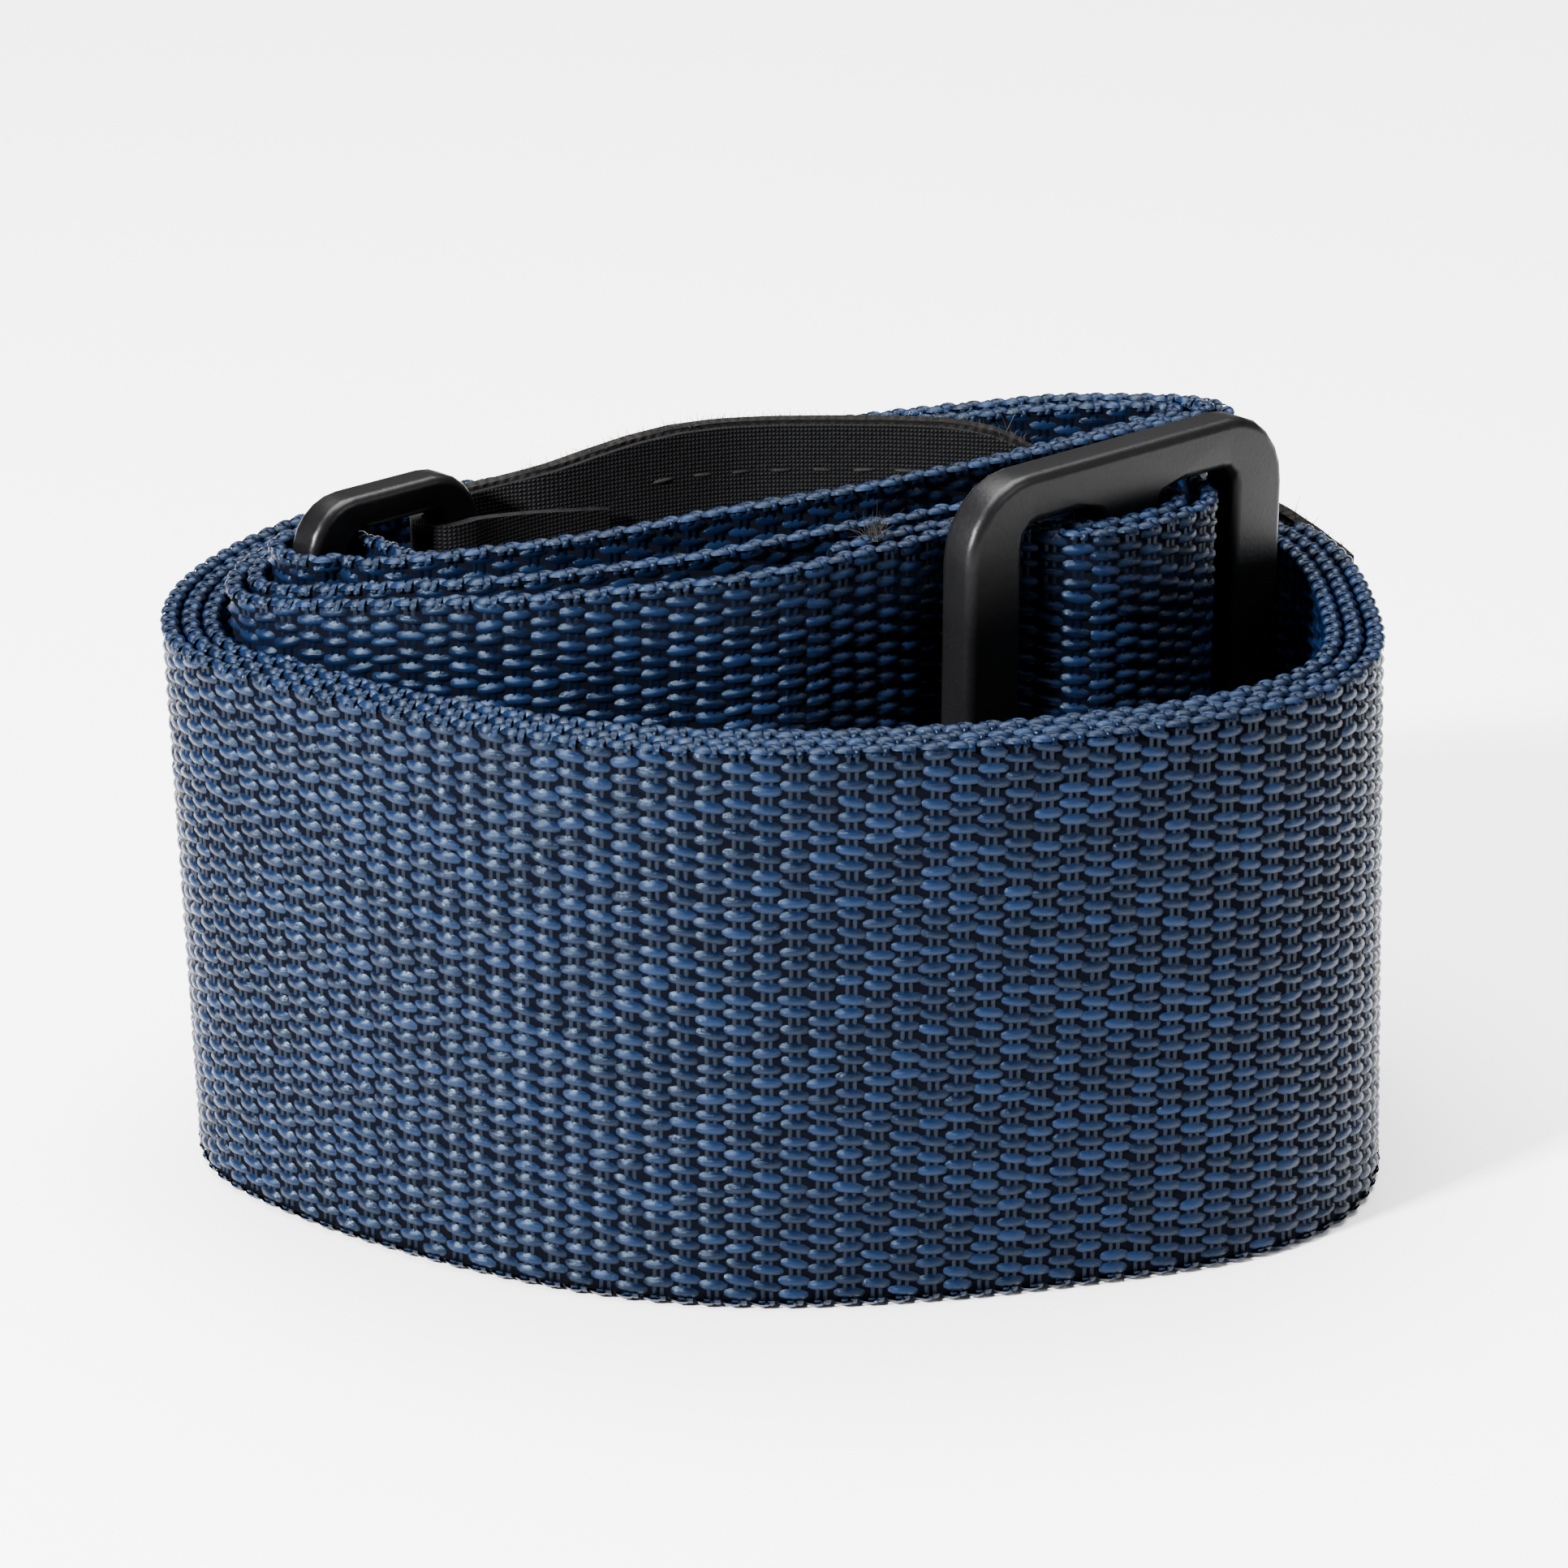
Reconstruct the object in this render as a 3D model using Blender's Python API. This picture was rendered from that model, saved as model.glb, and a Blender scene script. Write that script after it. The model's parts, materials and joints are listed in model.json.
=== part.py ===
"""A rolled guitar strap standing on its edge: woven webbing, a three-bar slider,
a rectangular loop and two leather end tabs. Metres, +Z up; the origin is on the
floor under the middle of the roll, X along its long way, Y towards its back."""
import math

import bmesh
import bpy
import numpy as np
from mathutils import Vector

MM = 0.001
FIT = 0.15            # half of the clearance kept between pieces that meet end to end

# Webbing
WEB_WIDTH = 50.0
WEB_THICK = 1.5
HALF_WEB = WEB_WIDTH / 2
PLY = 1.8             # pitch of plies that lie on each other

# Roll: the outer face of the outermost turn is an oval with a changing roundness
ROLL_X = 0.6
ROLL_Y = -7.6
ROLL_A = 52.6
ROLL_B_FRONT = 36.0
ROLL_B_BACK = 38.6
ROLL_TURNS = 3
TURN_START = 162.0    # degrees, counter-clockwise from +X
TURN_END = 1080.0 + 26.0
END_HINGE = 1080.0 + 13.0

# Middle of the roll's footprint, which becomes the origin
CENTRE = (0.68, -5.2)

# Slider: left end of its front face, and its direction in plan
SLIDER_AT = (17.3, -22.8)
SLIDER_TURN = 41.3
SLIDER_LENGTH = 38.2
SLIDER_HEIGHT = 61.0
SLIDER_THICK = 4.0
SLIDER_TOP = 64.6
SLIDER_RAIL = 4.5
SLIDER_LEFT_BAR = 6.3
SLIDER_RIGHT_BAR = 6.4
SLIDER_MID_BAR = (15.3, 22.7)

# Rectangular loop: left end of its middle plane
LOOP_AT = (-39.5, -12.0)
LOOP_TURN = 43.0
LOOP_LENGTH = 18.6
LOOP_HEIGHT = 57.6
LOOP_THICK = 3.6
LOOP_TOP = 60.0
LOOP_RAIL = 3.2
LOOP_BAR = 4.0

# End tabs
LEATHER = 1.4
LINING = 0.6
TAB_HALF_NECK = 24.6
TAB_HALF_WIDE = 27.2
TAB_LENGTH = 62.0
TAB_WIDEN = 24.0
TAB_TAPER = 20.0
TAB_SINK = 33.2       # height of the middle of the inner tab
STITCH_INSET = 4.5
STITCH_WIDTH = 0.7
STITCH_DEPTH = 0.35
SLOT_RADIUS = 4.2
SLOT_NECK = 3.0
SLOT_LENGTH = 13.0
END_TAB_MIDDLE = 25.6
END_TAB_SLIM = 1.8     # the hidden tab is narrower by this much on each edge
FLAP_THICK = 1.0
FLAP_LENGTH = 17.0


# ---------------------------------------------------------------- paths

def smooth(points, step):
    """Points every `step` along a chord-length Catmull-Rom curve through `points`."""
    p = np.array(points, float)
    p = np.vstack([2 * p[0] - p[1], p, 2 * p[-1] - p[-2]])
    knots = np.concatenate([[0], np.cumsum(np.linalg.norm(np.diff(p, axis=0), axis=1) ** 0.5)])
    fine = []
    for i in range(1, len(p) - 2):
        k0, k1, k2, k3 = knots[i - 1:i + 3]
        for t in np.linspace(k1, k2, 24, endpoint=False):
            a1 = (k1 - t) / (k1 - k0) * p[i - 1] + (t - k0) / (k1 - k0) * p[i]
            a2 = (k2 - t) / (k2 - k1) * p[i] + (t - k1) / (k2 - k1) * p[i + 1]
            a3 = (k3 - t) / (k3 - k2) * p[i + 1] + (t - k2) / (k3 - k2) * p[i + 2]
            b1 = (k2 - t) / (k2 - k0) * a1 + (t - k0) / (k2 - k0) * a2
            b2 = (k3 - t) / (k3 - k1) * a2 + (t - k1) / (k3 - k1) * a3
            fine.append((k2 - t) / (k2 - k1) * b1 + (t - k1) / (k2 - k1) * b2)
    fine.append(p[-2])
    fine = np.array(fine)
    along = np.concatenate([[0], np.cumsum(np.linalg.norm(np.diff(fine, axis=0), axis=1))])
    count = max(2, int(round(along[-1] / step)) + 1)
    wanted = np.linspace(0, along[-1], count)
    return np.column_stack([np.interp(wanted, along, fine[:, k]) for k in range(fine.shape[1])])


def frame_point(at, turn, along, behind):
    """Plan position `along` a plate and `behind` its reference face."""
    c, s = math.cos(math.radians(turn)), math.sin(math.radians(turn))
    return at[0] + along * c - behind * s, at[1] + along * s + behind * c


def by_slider(pairs, top):
    return [(*frame_point(SLIDER_AT, SLIDER_TURN, a, b), top) for a, b in pairs]


def by_loop(pairs, top):
    return [(*frame_point(LOOP_AT, LOOP_TURN, a, b), top) for a, b in pairs]


def oval(degrees, inward):
    """Plan point of the roll's oval, moved in by `inward` along its normal."""
    def on(deg):
        c, s = math.cos(math.radians(deg)), math.sin(math.radians(deg))
        n = 2.35 + 0.45 * c + 0.47 * s + 0.3 * math.exp(-((deg % 360 - 194) / 18) ** 2)
        b = ROLL_B_BACK if s > 0 else ROLL_B_FRONT
        return np.array([ROLL_X + math.copysign(ROLL_A * abs(c) ** (2 / n), c),
                         ROLL_Y + math.copysign(b * abs(s) ** (2 / n), s)])
    ahead = on(degrees + 1.5) - on(degrees - 1.5)
    ahead /= np.linalg.norm(ahead)
    return on(degrees) + inward * np.array([-ahead[1], ahead[0]])


def turn_inset(degrees):
    """Distance of the webbing's middle inside the oval: each turn lies on the last one."""
    inset = WEB_THICK / 2 + PLY * (ROLL_TURNS - 1)
    for k in range(1, ROLL_TURNS):
        step = min(1.0, max(0.0, (degrees - (360 * k + 45)) / 90))
        inset -= PLY * step * step * (3 - 2 * step)
    return inset


def roll_points(start, end, top=WEB_WIDTH, spacing=9.0):
    count = int(round((end - start) / spacing))
    angles = np.linspace(start, end, count + 1)
    return [(*oval(d, turn_inset(d)), top) for d in angles]


TAIL_AND_LOOP = by_slider([(-7.2, 9.6), (-2, 9.2), (3, 8.7), (6.8, 7.3), (9.4, 5.1), (11.4, 2.5),
                    (13.1, 0.3), (15.7, -1.0), (19.4, -1.3), (22.8, -1.1), (24.8, 0.0), (25.6, 1.8),
                    (25.0, 3.9), (22.6, 5.3), (17.6, 6.8), (12.6, 9.0), (8, 11.0),
                    (2.2, 11.8)], 59.3)
STANDING = [(8.3, -13.5, 59.3), (4.6, -15.5, 59.2), (-3.1, -19.3, 58.8), (-9.8, -21.2, 58.3),
            (-17.4, -22.5, 57.8), (-23, -22.7, 57.3), (-29.2, -21.2, 56.5), (-35.5, -19.2, 55.5),
            (-39.8, -17.4, 54.8)]
INNER_LEFT = [(-42.5, -14.9, 54.4), (-43.3, -11.2, 54.2), (-42.2, -6.2, 54.2), (-38.5, -1.2, 54.2),
              (-33, 3.8, 54.2)]
INNER_BACK = [(-27, 6.7, 54.3), (-20, 8.9, 54.8), (-12, 12.2, 55.8), (-4, 14.7, 57.2), (4, 15.4, 58.6),
              (12, 15.1, 59.6), (19, 15.3, 60.2), (26, 15.5, 60.8), (31.5, 15.3, 61.1)]
INNER_RIGHT = [(35.4, 14.9, 61.2), (37.2, 13.9, 61.2), (36.8, 12.5, 61.2), (34.4, 10.5, 61.1),
               (30, 7.4, 61.0)]
INNER_FRONT = [(24, 3.1, 60.8), (17.4, -1.2, 60.4), (8.4, -6.6, 60.2), (1.2, -9.1, 59.8),
               (-4, -10.5, 59.2), (-11.2, -12.7, 58.4), (-17.8, -14.0, 57.6), (-25.4, -14.3, 56.9),
               (-29.4, -13.6, 56.5)]
LOOP_TURN_ROUND = by_loop([(6.2, -4.6), (6.3, -2.0), (5.9, 0.8), (4.6, 3.1), (2.6, 3.9), (0.4, 3.4),
                    (-1.15, 1.5), (-1.3, -1.0), (-0.5, -3.0), (1.4, -4.1)], 56.4)
OUTER_FRONT = [(-34.0, -15.3, 56.5), (-30.6, -16.1, 56.9), (-25, -16.5, 57.7), (-17.8, -16.1, 58.5),
               (-11.0, -14.7, 59.2), (-3.6, -12.4, 60.0), (2.2, -10.9, 60.5), (9.3, -8.4, 61.0),
               (13.9, -5.6, 61.2)]
OUTER_RIGHT = [(18.4, -2.9, 61.2), (25.2, 1.6, 61.3), (31.2, 5.9, 61.4), (35.8, 9.2, 61.4),
               (38.9, 11.6, 61.5), (39.9, 13.9, 61.5), (38.2, 16.0, 61.4), (33, 17.1, 61.3)]
OUTER_BACK = [(26, 17.4, 61.1), (19, 17.2, 60.5), (12, 17.0, 59.8), (4, 17.3, 58.6), (-4.5, 16.6, 57.0),
              (-12.8, 14.0, 55.5), (-21, 10.7, 54.5), (-28, 8.5, 54.0)]
OUTER_LEFT = [(-34.3, 5.7, 53.8), (-39.8, 0.7, 53.7), (-43.9, -5.0, 53.6), (-45.2, -10.9, 53.6),
              (-44.4, -15.4, 53.7)]
ADJUSTING = [(-41.2, -18.8, 54.1), (-36.4, -20.9, 54.7), (-29.6, -23.2, 55.6), (-22.8, -24.7, 56.3),
             (-16.9, -25.0, 56.8), (-9.3, -24.9, 57.5), (-3, -24.9, 58.2), (3.9, -23.6, 59.0),
             (8.6, -20.9, 59.3)]
OVER_SLIDER = by_slider([(-1.2, 6.6), (3.5, 6.6), (6.6, 5.2), (8.7, 2.7), (10.7, -0.4),
                    (13.2, -2.4), (16.5, -3.2), (19.6, -3.3), (23.0, -3.0), (26.3, -2.0),
                    (28.2, 0.0), (29.6, 2.7), (31.2, 5.4), (33.9, 7.2)], 59.3)
LEAVING = [(*frame_point(SLIDER_AT, SLIDER_TURN, 37.4, 8.3), 59.8), (41.9, 12.0, 60.6),
           (41.3, 15.4, 61.0), (38.4, 18.2, 60.8), (33.5, 19.2, 60.2)]
LEAVING_BACK = [(27, 19.4, 59.5), (19, 19.5, 58.4), (11, 19.9, 56.6), (3, 20.5, 54.6), (-6, 20.7, 52.6),
                (-16, 19.9, 51.2), (-26, 17.6, 50.4), (-34, 14.4, 50.0), (-40.2, 11.0, 50.0)]

# ---------------------------------------------------------------- solids

def material(name, colour, roughness, metallic=0.0):
    mat = bpy.data.materials.new(name)
    mat.use_nodes = True
    shader = mat.node_tree.nodes["Principled BSDF"]
    shader.inputs["Base Color"].default_value = (*colour, 1)
    shader.inputs["Roughness"].default_value = roughness
    shader.inputs["Metallic"].default_value = metallic
    return mat


def finish(name, bm, mat, origin=None):
    """Makes the named object from a closed bmesh in millimetres; `origin` is on its joint axis."""
    bmesh.ops.recalc_face_normals(bm, faces=bm.faces)
    if bm.calc_volume(signed=True) < 0:
        bmesh.ops.reverse_faces(bm, faces=bm.faces)
    centre = Vector((*CENTRE, 0))
    shift = Vector(origin) if origin else centre
    for v in bm.verts:
        v.co = (v.co - shift) * MM
    mesh = bpy.data.meshes.new(name)
    bm.to_mesh(mesh)
    bm.free()
    ob = bpy.data.objects.new(name, mesh)
    ob.location = (shift - centre) * MM
    mesh.materials.append(mat)
    bpy.context.scene.collection.objects.link(ob)
    return ob


def sideways(plan):
    """Unit vectors to the left of each step of a plan path."""
    d = np.gradient(plan[:, :2], axis=0)
    d /= np.linalg.norm(d, axis=1)[:, None]
    return np.column_stack([-d[:, 1], d[:, 0]])


def ribbon(name, path, side, mat, thick=WEB_THICK, width=WEB_WIDTH, origin=None):
    """A strip of webbing on edge; each row of `path` is x, y and the height of its top edge."""
    bm = bmesh.new()
    rings = []
    for (x, y, top), (sx, sy) in zip(path, side):
        h = thick / 2
        rings.append([bm.verts.new((x + sx * k, y + sy * k, z))
                      for k, z in ((-h, top), (h, top), (h, top - width), (-h, top - width))])
    for a, b in zip(rings, rings[1:]):
        for i in range(4):
            bm.faces.new((a[i], a[(i + 1) % 4], b[(i + 1) % 4], b[i]))
    bm.faces.new(rings[0])
    bm.faces.new(rings[-1])
    return finish(name, bm, mat, origin)


def rounded_rectangle(x0, x1, z0, z1, radius, steps=6):
    """Corner points, counter-clockwise."""
    points = []
    for cx, cz, start in ((x1 - radius, z1 - radius, 0), (x0 + radius, z1 - radius, 90),
                          (x0 + radius, z0 + radius, 180), (x1 - radius, z0 + radius, 270)):
        for i in range(steps + 1):
            a = math.radians(start + 90 * i / steps)
            points.append((cx + radius * math.cos(a), cz + radius * math.sin(a)))
    return points


def flat_solid(outline, holes, y0, y1):
    """A plate in the XZ plane from y0 to y1, with holes right through it."""
    bm = bmesh.new()
    edges = []
    for loop in (outline, *holes):
        verts = [bm.verts.new((x, y0, z)) for x, z in loop]
        edges += [bm.edges.new((verts[i - 1], verts[i])) for i in range(len(verts))]
    filled = bmesh.ops.triangle_fill(bm, edges=edges, use_beauty=True)
    faces = [g for g in filled["geom"] if isinstance(g, bmesh.types.BMFace)]
    grown = bmesh.ops.extrude_face_region(bm, geom=faces)
    moved = [g for g in grown["geom"] if isinstance(g, bmesh.types.BMVert)]
    bmesh.ops.translate(bm, verts=moved, vec=(0, y1 - y0, 0))
    return bm


def slice_along(bm, start, end, step):
    """Adds edges across a flat solid so that it can bend."""
    for x in np.arange(start + step, end - 0.2, step):
        geom = bm.verts[:] + bm.edges[:] + bm.faces[:]
        bmesh.ops.bisect_plane(bm, geom=geom, dist=1e-5, plane_co=(x, 0, 0), plane_no=(1, 0, 0))


def bend(bm, path, middle, reverse=False):
    """Lays a flat solid along a plan path: X follows the path, Y goes to its left."""
    along = np.concatenate([[0], np.cumsum(np.linalg.norm(np.diff(path[:, :2], axis=0), axis=1))])
    side = sideways(path)
    for v in bm.verts:
        x, y, z = v.co
        px, py = (np.interp(x, along, path[:, k]) for k in (0, 1))
        sx, sy = (np.interp(x, along, side[:, k]) for k in (0, 1))
        v.co = (px + sx * y, py + sy * y, middle(x) + z)


def to_plate(bm, at, turn):
    """Turns a plate drawn along X to its direction in plan."""
    for v in bm.verts:
        x, y = frame_point(at, turn, v.co.x, v.co.y)
        v.co = (x, y, v.co.z)


def soften(ob, width, segments=2):
    """Rounds the sharp edges of a moulded piece."""
    bevel = ob.modifiers.new("soft_edges", "BEVEL")
    bevel.width = width * MM
    bevel.segments = segments
    bevel.limit_method = "ANGLE"
    bevel.angle_limit = math.radians(50)
    bevel.harden_normals = False
    ob.data.shade_smooth()
    ob.data.set_sharp_from_angle(angle=math.radians(40))


# ---------------------------------------------------------------- sub-parts

def make_slider(mat):
    top, low = SLIDER_TOP, SLIDER_TOP - SLIDER_HEIGHT
    outline = rounded_rectangle(0, SLIDER_LENGTH, low, top, 7.0)
    bottom, ceiling = low + SLIDER_RAIL, top - SLIDER_RAIL
    slots = [rounded_rectangle(SLIDER_LEFT_BAR, SLIDER_MID_BAR[0], bottom, ceiling, 1.5, 3),
             rounded_rectangle(SLIDER_MID_BAR[1], SLIDER_LENGTH - SLIDER_RIGHT_BAR,
                               low + SLIDER_RAIL, top - SLIDER_RAIL, 1.5, 3)]
    bm = flat_solid(outline, slots, 0, SLIDER_THICK)
    to_plate(bm, SLIDER_AT, SLIDER_TURN)
    ob = finish("slider", bm, mat, slider_pivot())
    soften(ob, 0.9)


def slider_pivot():
    mid = sum(SLIDER_MID_BAR) / 2
    return (*frame_point(SLIDER_AT, SLIDER_TURN, mid, SLIDER_THICK / 2), SLIDER_TOP - SLIDER_HEIGHT / 2)


def make_loop(mat):
    top, low = LOOP_TOP, LOOP_TOP - LOOP_HEIGHT
    outline = rounded_rectangle(0, LOOP_LENGTH, low, top, 5.0)
    hole = rounded_rectangle(LOOP_BAR, LOOP_LENGTH - LOOP_BAR, low + LOOP_RAIL, top - LOOP_RAIL, 2.0, 4)
    bm = flat_solid(outline, [hole], -LOOP_THICK / 2, LOOP_THICK / 2)
    to_plate(bm, LOOP_AT, LOOP_TURN)
    ob = finish("rectangular_loop", bm, mat, loop_pivot())
    soften(ob, 0.8)


def loop_pivot():
    return (*frame_point(LOOP_AT, LOOP_TURN, LOOP_LENGTH - LOOP_BAR / 2, 0), LOOP_TOP - LOOP_HEIGHT / 2)


def tab_half_width(x):
    """Half the width of a tab, from its neck (x = 0) to its rounded end."""
    grow = min(1.0, max(0.0, x / TAB_WIDEN))
    half = TAB_HALF_NECK + (TAB_HALF_WIDE - TAB_HALF_NECK) * grow * grow * (3 - 2 * grow)
    into_taper = max(0.0, (x - (TAB_LENGTH - TAB_TAPER)) / TAB_TAPER)
    return half * max(0.0, 1 - into_taper ** 3.2) ** 0.45


def tab_outline(inset=0.0, start=0.0, slim=0.0):
    """The tab's outline, moved in by `inset`, of a tab narrower by `slim` on each edge."""
    reach = TAB_LENGTH - start - 2 * inset
    stations = [start + inset + reach * (1 - (1 - t) ** 1.8) for t in np.linspace(0, 1, 26)]
    upper = [(x, tab_half_width(x + inset * 0.5) - inset - slim) for x in stations]
    upper = [(x, max(h, 0.0)) for x, h in upper]
    upper = [p for p in upper[:-1] if p[1] > 1.0] + [(stations[-1], 0.0)]
    return [(x, h) for x, h in upper] + [(x, -h) for x, h in reversed(upper[:-1])]


def button_slot():
    """A keyhole for the strap button: a round hole with a narrow slit towards the neck."""
    centre = TAB_LENGTH - 15.0
    neck = SLOT_NECK / 2
    reach = math.degrees(math.asin(neck / SLOT_RADIUS))
    arc = [math.radians(a) for a in np.linspace(180 - reach, -(180 - reach), 15)]
    points = [(centre + SLOT_RADIUS * math.cos(a), SLOT_RADIUS * math.sin(a)) for a in arc]
    end = centre - SLOT_LENGTH
    return points + [(end, -neck), (end, neck)]


def tab_layer(name, path, middle, y0, y1, mat, start=0.0, inset=0.0, slim=0.0, origin=None):
    bm = flat_solid(tab_outline(inset, start, slim), [button_slot()], y0, y1)
    slice_along(bm, start, TAB_LENGTH, 4.0)
    bend(bm, path, middle)
    return finish(name, bm, mat, origin)


def tab_thread(name, path, middle, y0, y1, mat, start=0.0, slim=0.0, origin=None):
    """A closed row of stitching just inside the tab's edge."""
    outer = tab_outline(STITCH_INSET, start, slim)
    inner = tab_outline(STITCH_INSET + STITCH_WIDTH, start, slim)
    bm = flat_solid(outer, [inner], y0, y1)
    slice_along(bm, start, TAB_LENGTH, 4.0)
    bend(bm, path, middle)
    return finish(name, bm, mat, origin)


INNER_TAB = [(*frame_point(LOOP_AT, LOOP_TURN, 19.3, 3.9), 0), (-23.4, 5.0, 0), (-20, 5.4, 0),
             (-13, 8.1, 0), (-3.6, 11.6, 0), (4.3, 12.5, 0), (15.2, 12.1, 0), (24, 11.4, 0),
             (30, 11.6, 0), (35, 12.6, 0)]


def inner_tab_middle(x):
    """The inner tab stands a little higher along its middle than at the loop."""
    return TAB_SINK - 1.6 * (1 - min(1.0, x / 22.0)) ** 2 - 0.6 * max(0.0, (x - 40) / 26) ** 2


def make_inner_tab(leather, lining, thread):
    path = smooth(INNER_TAB, 1.0)
    back = LEATHER / 2
    tab_layer("tab_leather", path, inner_tab_middle, back - LEATHER, back, leather)
    front = back - LEATHER - 2 * FIT
    tab_layer("tab_lining", path, inner_tab_middle, front - LINING, front, lining, start=1.0, inset=0.4)
    face = front - LINING - FIT
    tab_thread("tab_stitching", path, inner_tab_middle, face - STITCH_DEPTH, face, thread,
               start=FLAP_LENGTH + 1.0)
    make_flap(lining, thread)


def make_flap(lining, thread):
    """The neck's fold: round the loop's right bar and back along the front of the tab."""
    bar = LOOP_LENGTH - LOOP_BAR
    off = LOOP_THICK / 2 + 0.4 + FLAP_THICK / 2
    reach = 0.4 + FLAP_THICK / 2
    route = [(LOOP_LENGTH - 1.0, off), (bar + 1.6, off), (bar - reach + 0.2, off * 0.66), (bar - reach, 0),
             (bar - reach + 0.2, -off * 0.66), (bar + 1.6, -off), (LOOP_LENGTH - 0.4, -off)]
    plan = [(*frame_point(LOOP_AT, LOOP_TURN, a, b), 0) for a, b in route]
    plan += [(-22.3, 0.0, 0), (-20.0, 1.6, 0), (-17.2, 3.1, 0), (-13.6, 5.0, 0)]
    path = smooth(plan, 0.6)
    length = np.sum(np.linalg.norm(np.diff(path[:, :2], axis=0), axis=1))
    round_bar = length - 20.0
    end = length - 0.3
    half = TAB_HALF_NECK - 0.3
    outline = [(0, -half), (round_bar + 5, -half), (end, -half + 7),
               (end, half - 2.5), (round_bar + 6, half), (0, half)]
    bm = flat_solid(outline, [], -FLAP_THICK / 2, FLAP_THICK / 2)
    slice_along(bm, 0, length, 0.9)
    bend(bm, path, lambda x: LOOP_TOP - LOOP_HEIGHT / 2 + 1.6 * min(1.0, max(0.0, (x - 8) / 20)))
    finish("tab_flap", bm, lining)
    seam = length - 7.0
    outline = [(seam, -17.0), (seam + STITCH_WIDTH, -17.0), (seam + STITCH_WIDTH, 20.5), (seam, 20.5)]
    face = -FLAP_THICK / 2 - FIT
    bm = flat_solid(outline, [], face - STITCH_DEPTH, face)
    slice_along(bm, seam, seam + STITCH_WIDTH, 0.5)
    bend(bm, path, lambda x: LOOP_TOP - LOOP_HEIGHT / 2 + 1.6)
    finish("tab_flap_seam", bm, thread)


def end_tab_path(inset):
    """Along the outside of the roll from the webbing's end, then straight along its back."""
    start = END_HINGE + 3.5
    points = [(*oval(d, inset), 0) for d in np.arange(start, 1080 + 90, 6.0)]
    (x0, y0, _), (x1, y1, _) = points[-2:]
    step = math.hypot(x1 - x0, y1 - y0)
    ahead = ((x1 - x0) / step, (y1 - y0) / step)
    points += [(x1 + ahead[0] * k, y1 + ahead[1] * k, 0) for k in (2, 4, 8, 16, 24, 32)]
    return smooth(points, 1.0)


def make_end_tab(leather, lining, thread):
    pivot = end_pivot()
    outside = -LEATHER / 2 - 2 * FIT
    path = end_tab_path(outside)

    def middle(x):
        return END_TAB_MIDDLE

    tab_layer("end_tab_leather", path, middle, -LEATHER / 2, LEATHER / 2, leather,
              slim=END_TAB_SLIM, origin=pivot)
    inside = LEATHER / 2 + 2 * FIT
    tab_layer("end_tab_lining", path, middle, inside, inside + LINING, lining, 12.5, 0.4,
              END_TAB_SLIM, pivot)
    face = -LEATHER / 2 - FIT
    tab_thread("end_tab_stitching", path, middle, face - STITCH_DEPTH, face, thread, 1.0,
               END_TAB_SLIM, pivot)
    seam = 9.0
    outline = [(seam, -18.0), (seam + STITCH_WIDTH, -18.0), (seam + STITCH_WIDTH, 18.0), (seam, 18.0)]
    bm = flat_solid(outline, [], face - STITCH_DEPTH, face)
    bend(bm, path, middle)
    finish("end_tab_seam", bm, thread, pivot)


def end_pivot():
    return (*oval(END_HINGE, 0.0), WEB_WIDTH / 2)


def make_tack(thread):
    """Rows of thread that hold the sewn tail to the standing ply, seen on the tail's face."""
    path = smooth(TAIL_AND_LOOP[:4], 0.8)
    face = -WEB_THICK / 2 - FIT
    outline = [(4.6, -21.0), (5.4, -21.0), (5.4, 22.0), (4.6, 22.0)]
    bm = flat_solid(outline, [], face - STITCH_DEPTH, face)
    bend(bm, path, lambda x: 59.3 - HALF_WEB)
    finish("tail_tack", bm, thread)


STRETCHES = [
    ("webbing_tail_loop", TAIL_AND_LOOP, 1.3), ("webbing_standing_ply", STANDING, 3.0),
    ("webbing_inner_left_bend", INNER_LEFT, 1.8), ("webbing_inner_back_run", INNER_BACK, 4.0),
    ("webbing_inner_right_bend", INNER_RIGHT, 0.9), ("webbing_inner_front_run", INNER_FRONT, 4.0),
    ("webbing_loop_turn", LOOP_TURN_ROUND, 0.9), ("webbing_outer_front_run", OUTER_FRONT, 4.0),
    ("webbing_outer_right_bend", OUTER_RIGHT, 1.6), ("webbing_outer_back_run", OUTER_BACK, 4.0),
    ("webbing_outer_left_bend", OUTER_LEFT, 2.4), ("webbing_adjusting_ply", ADJUSTING, 4.0),
    ("webbing_over_slider", OVER_SLIDER, 1.3), ("webbing_leaving_bend", LEAVING, 1.5),
    ("webbing_leaving_run", LEAVING_BACK, 4.0)]
TURN_CUTS = [
    ("webbing_turn_1_left_front", TURN_START, 270), ("webbing_turn_1_right_back", 270, 405),
    ("webbing_turn_2_left_front", 405, 630), ("webbing_turn_2_right_back", 630, 765)]
OUTER_CUTS = [765, 810, 860, 905, 945, 975, 1010, 1045, 1080, END_HINGE, TURN_END]


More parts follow.
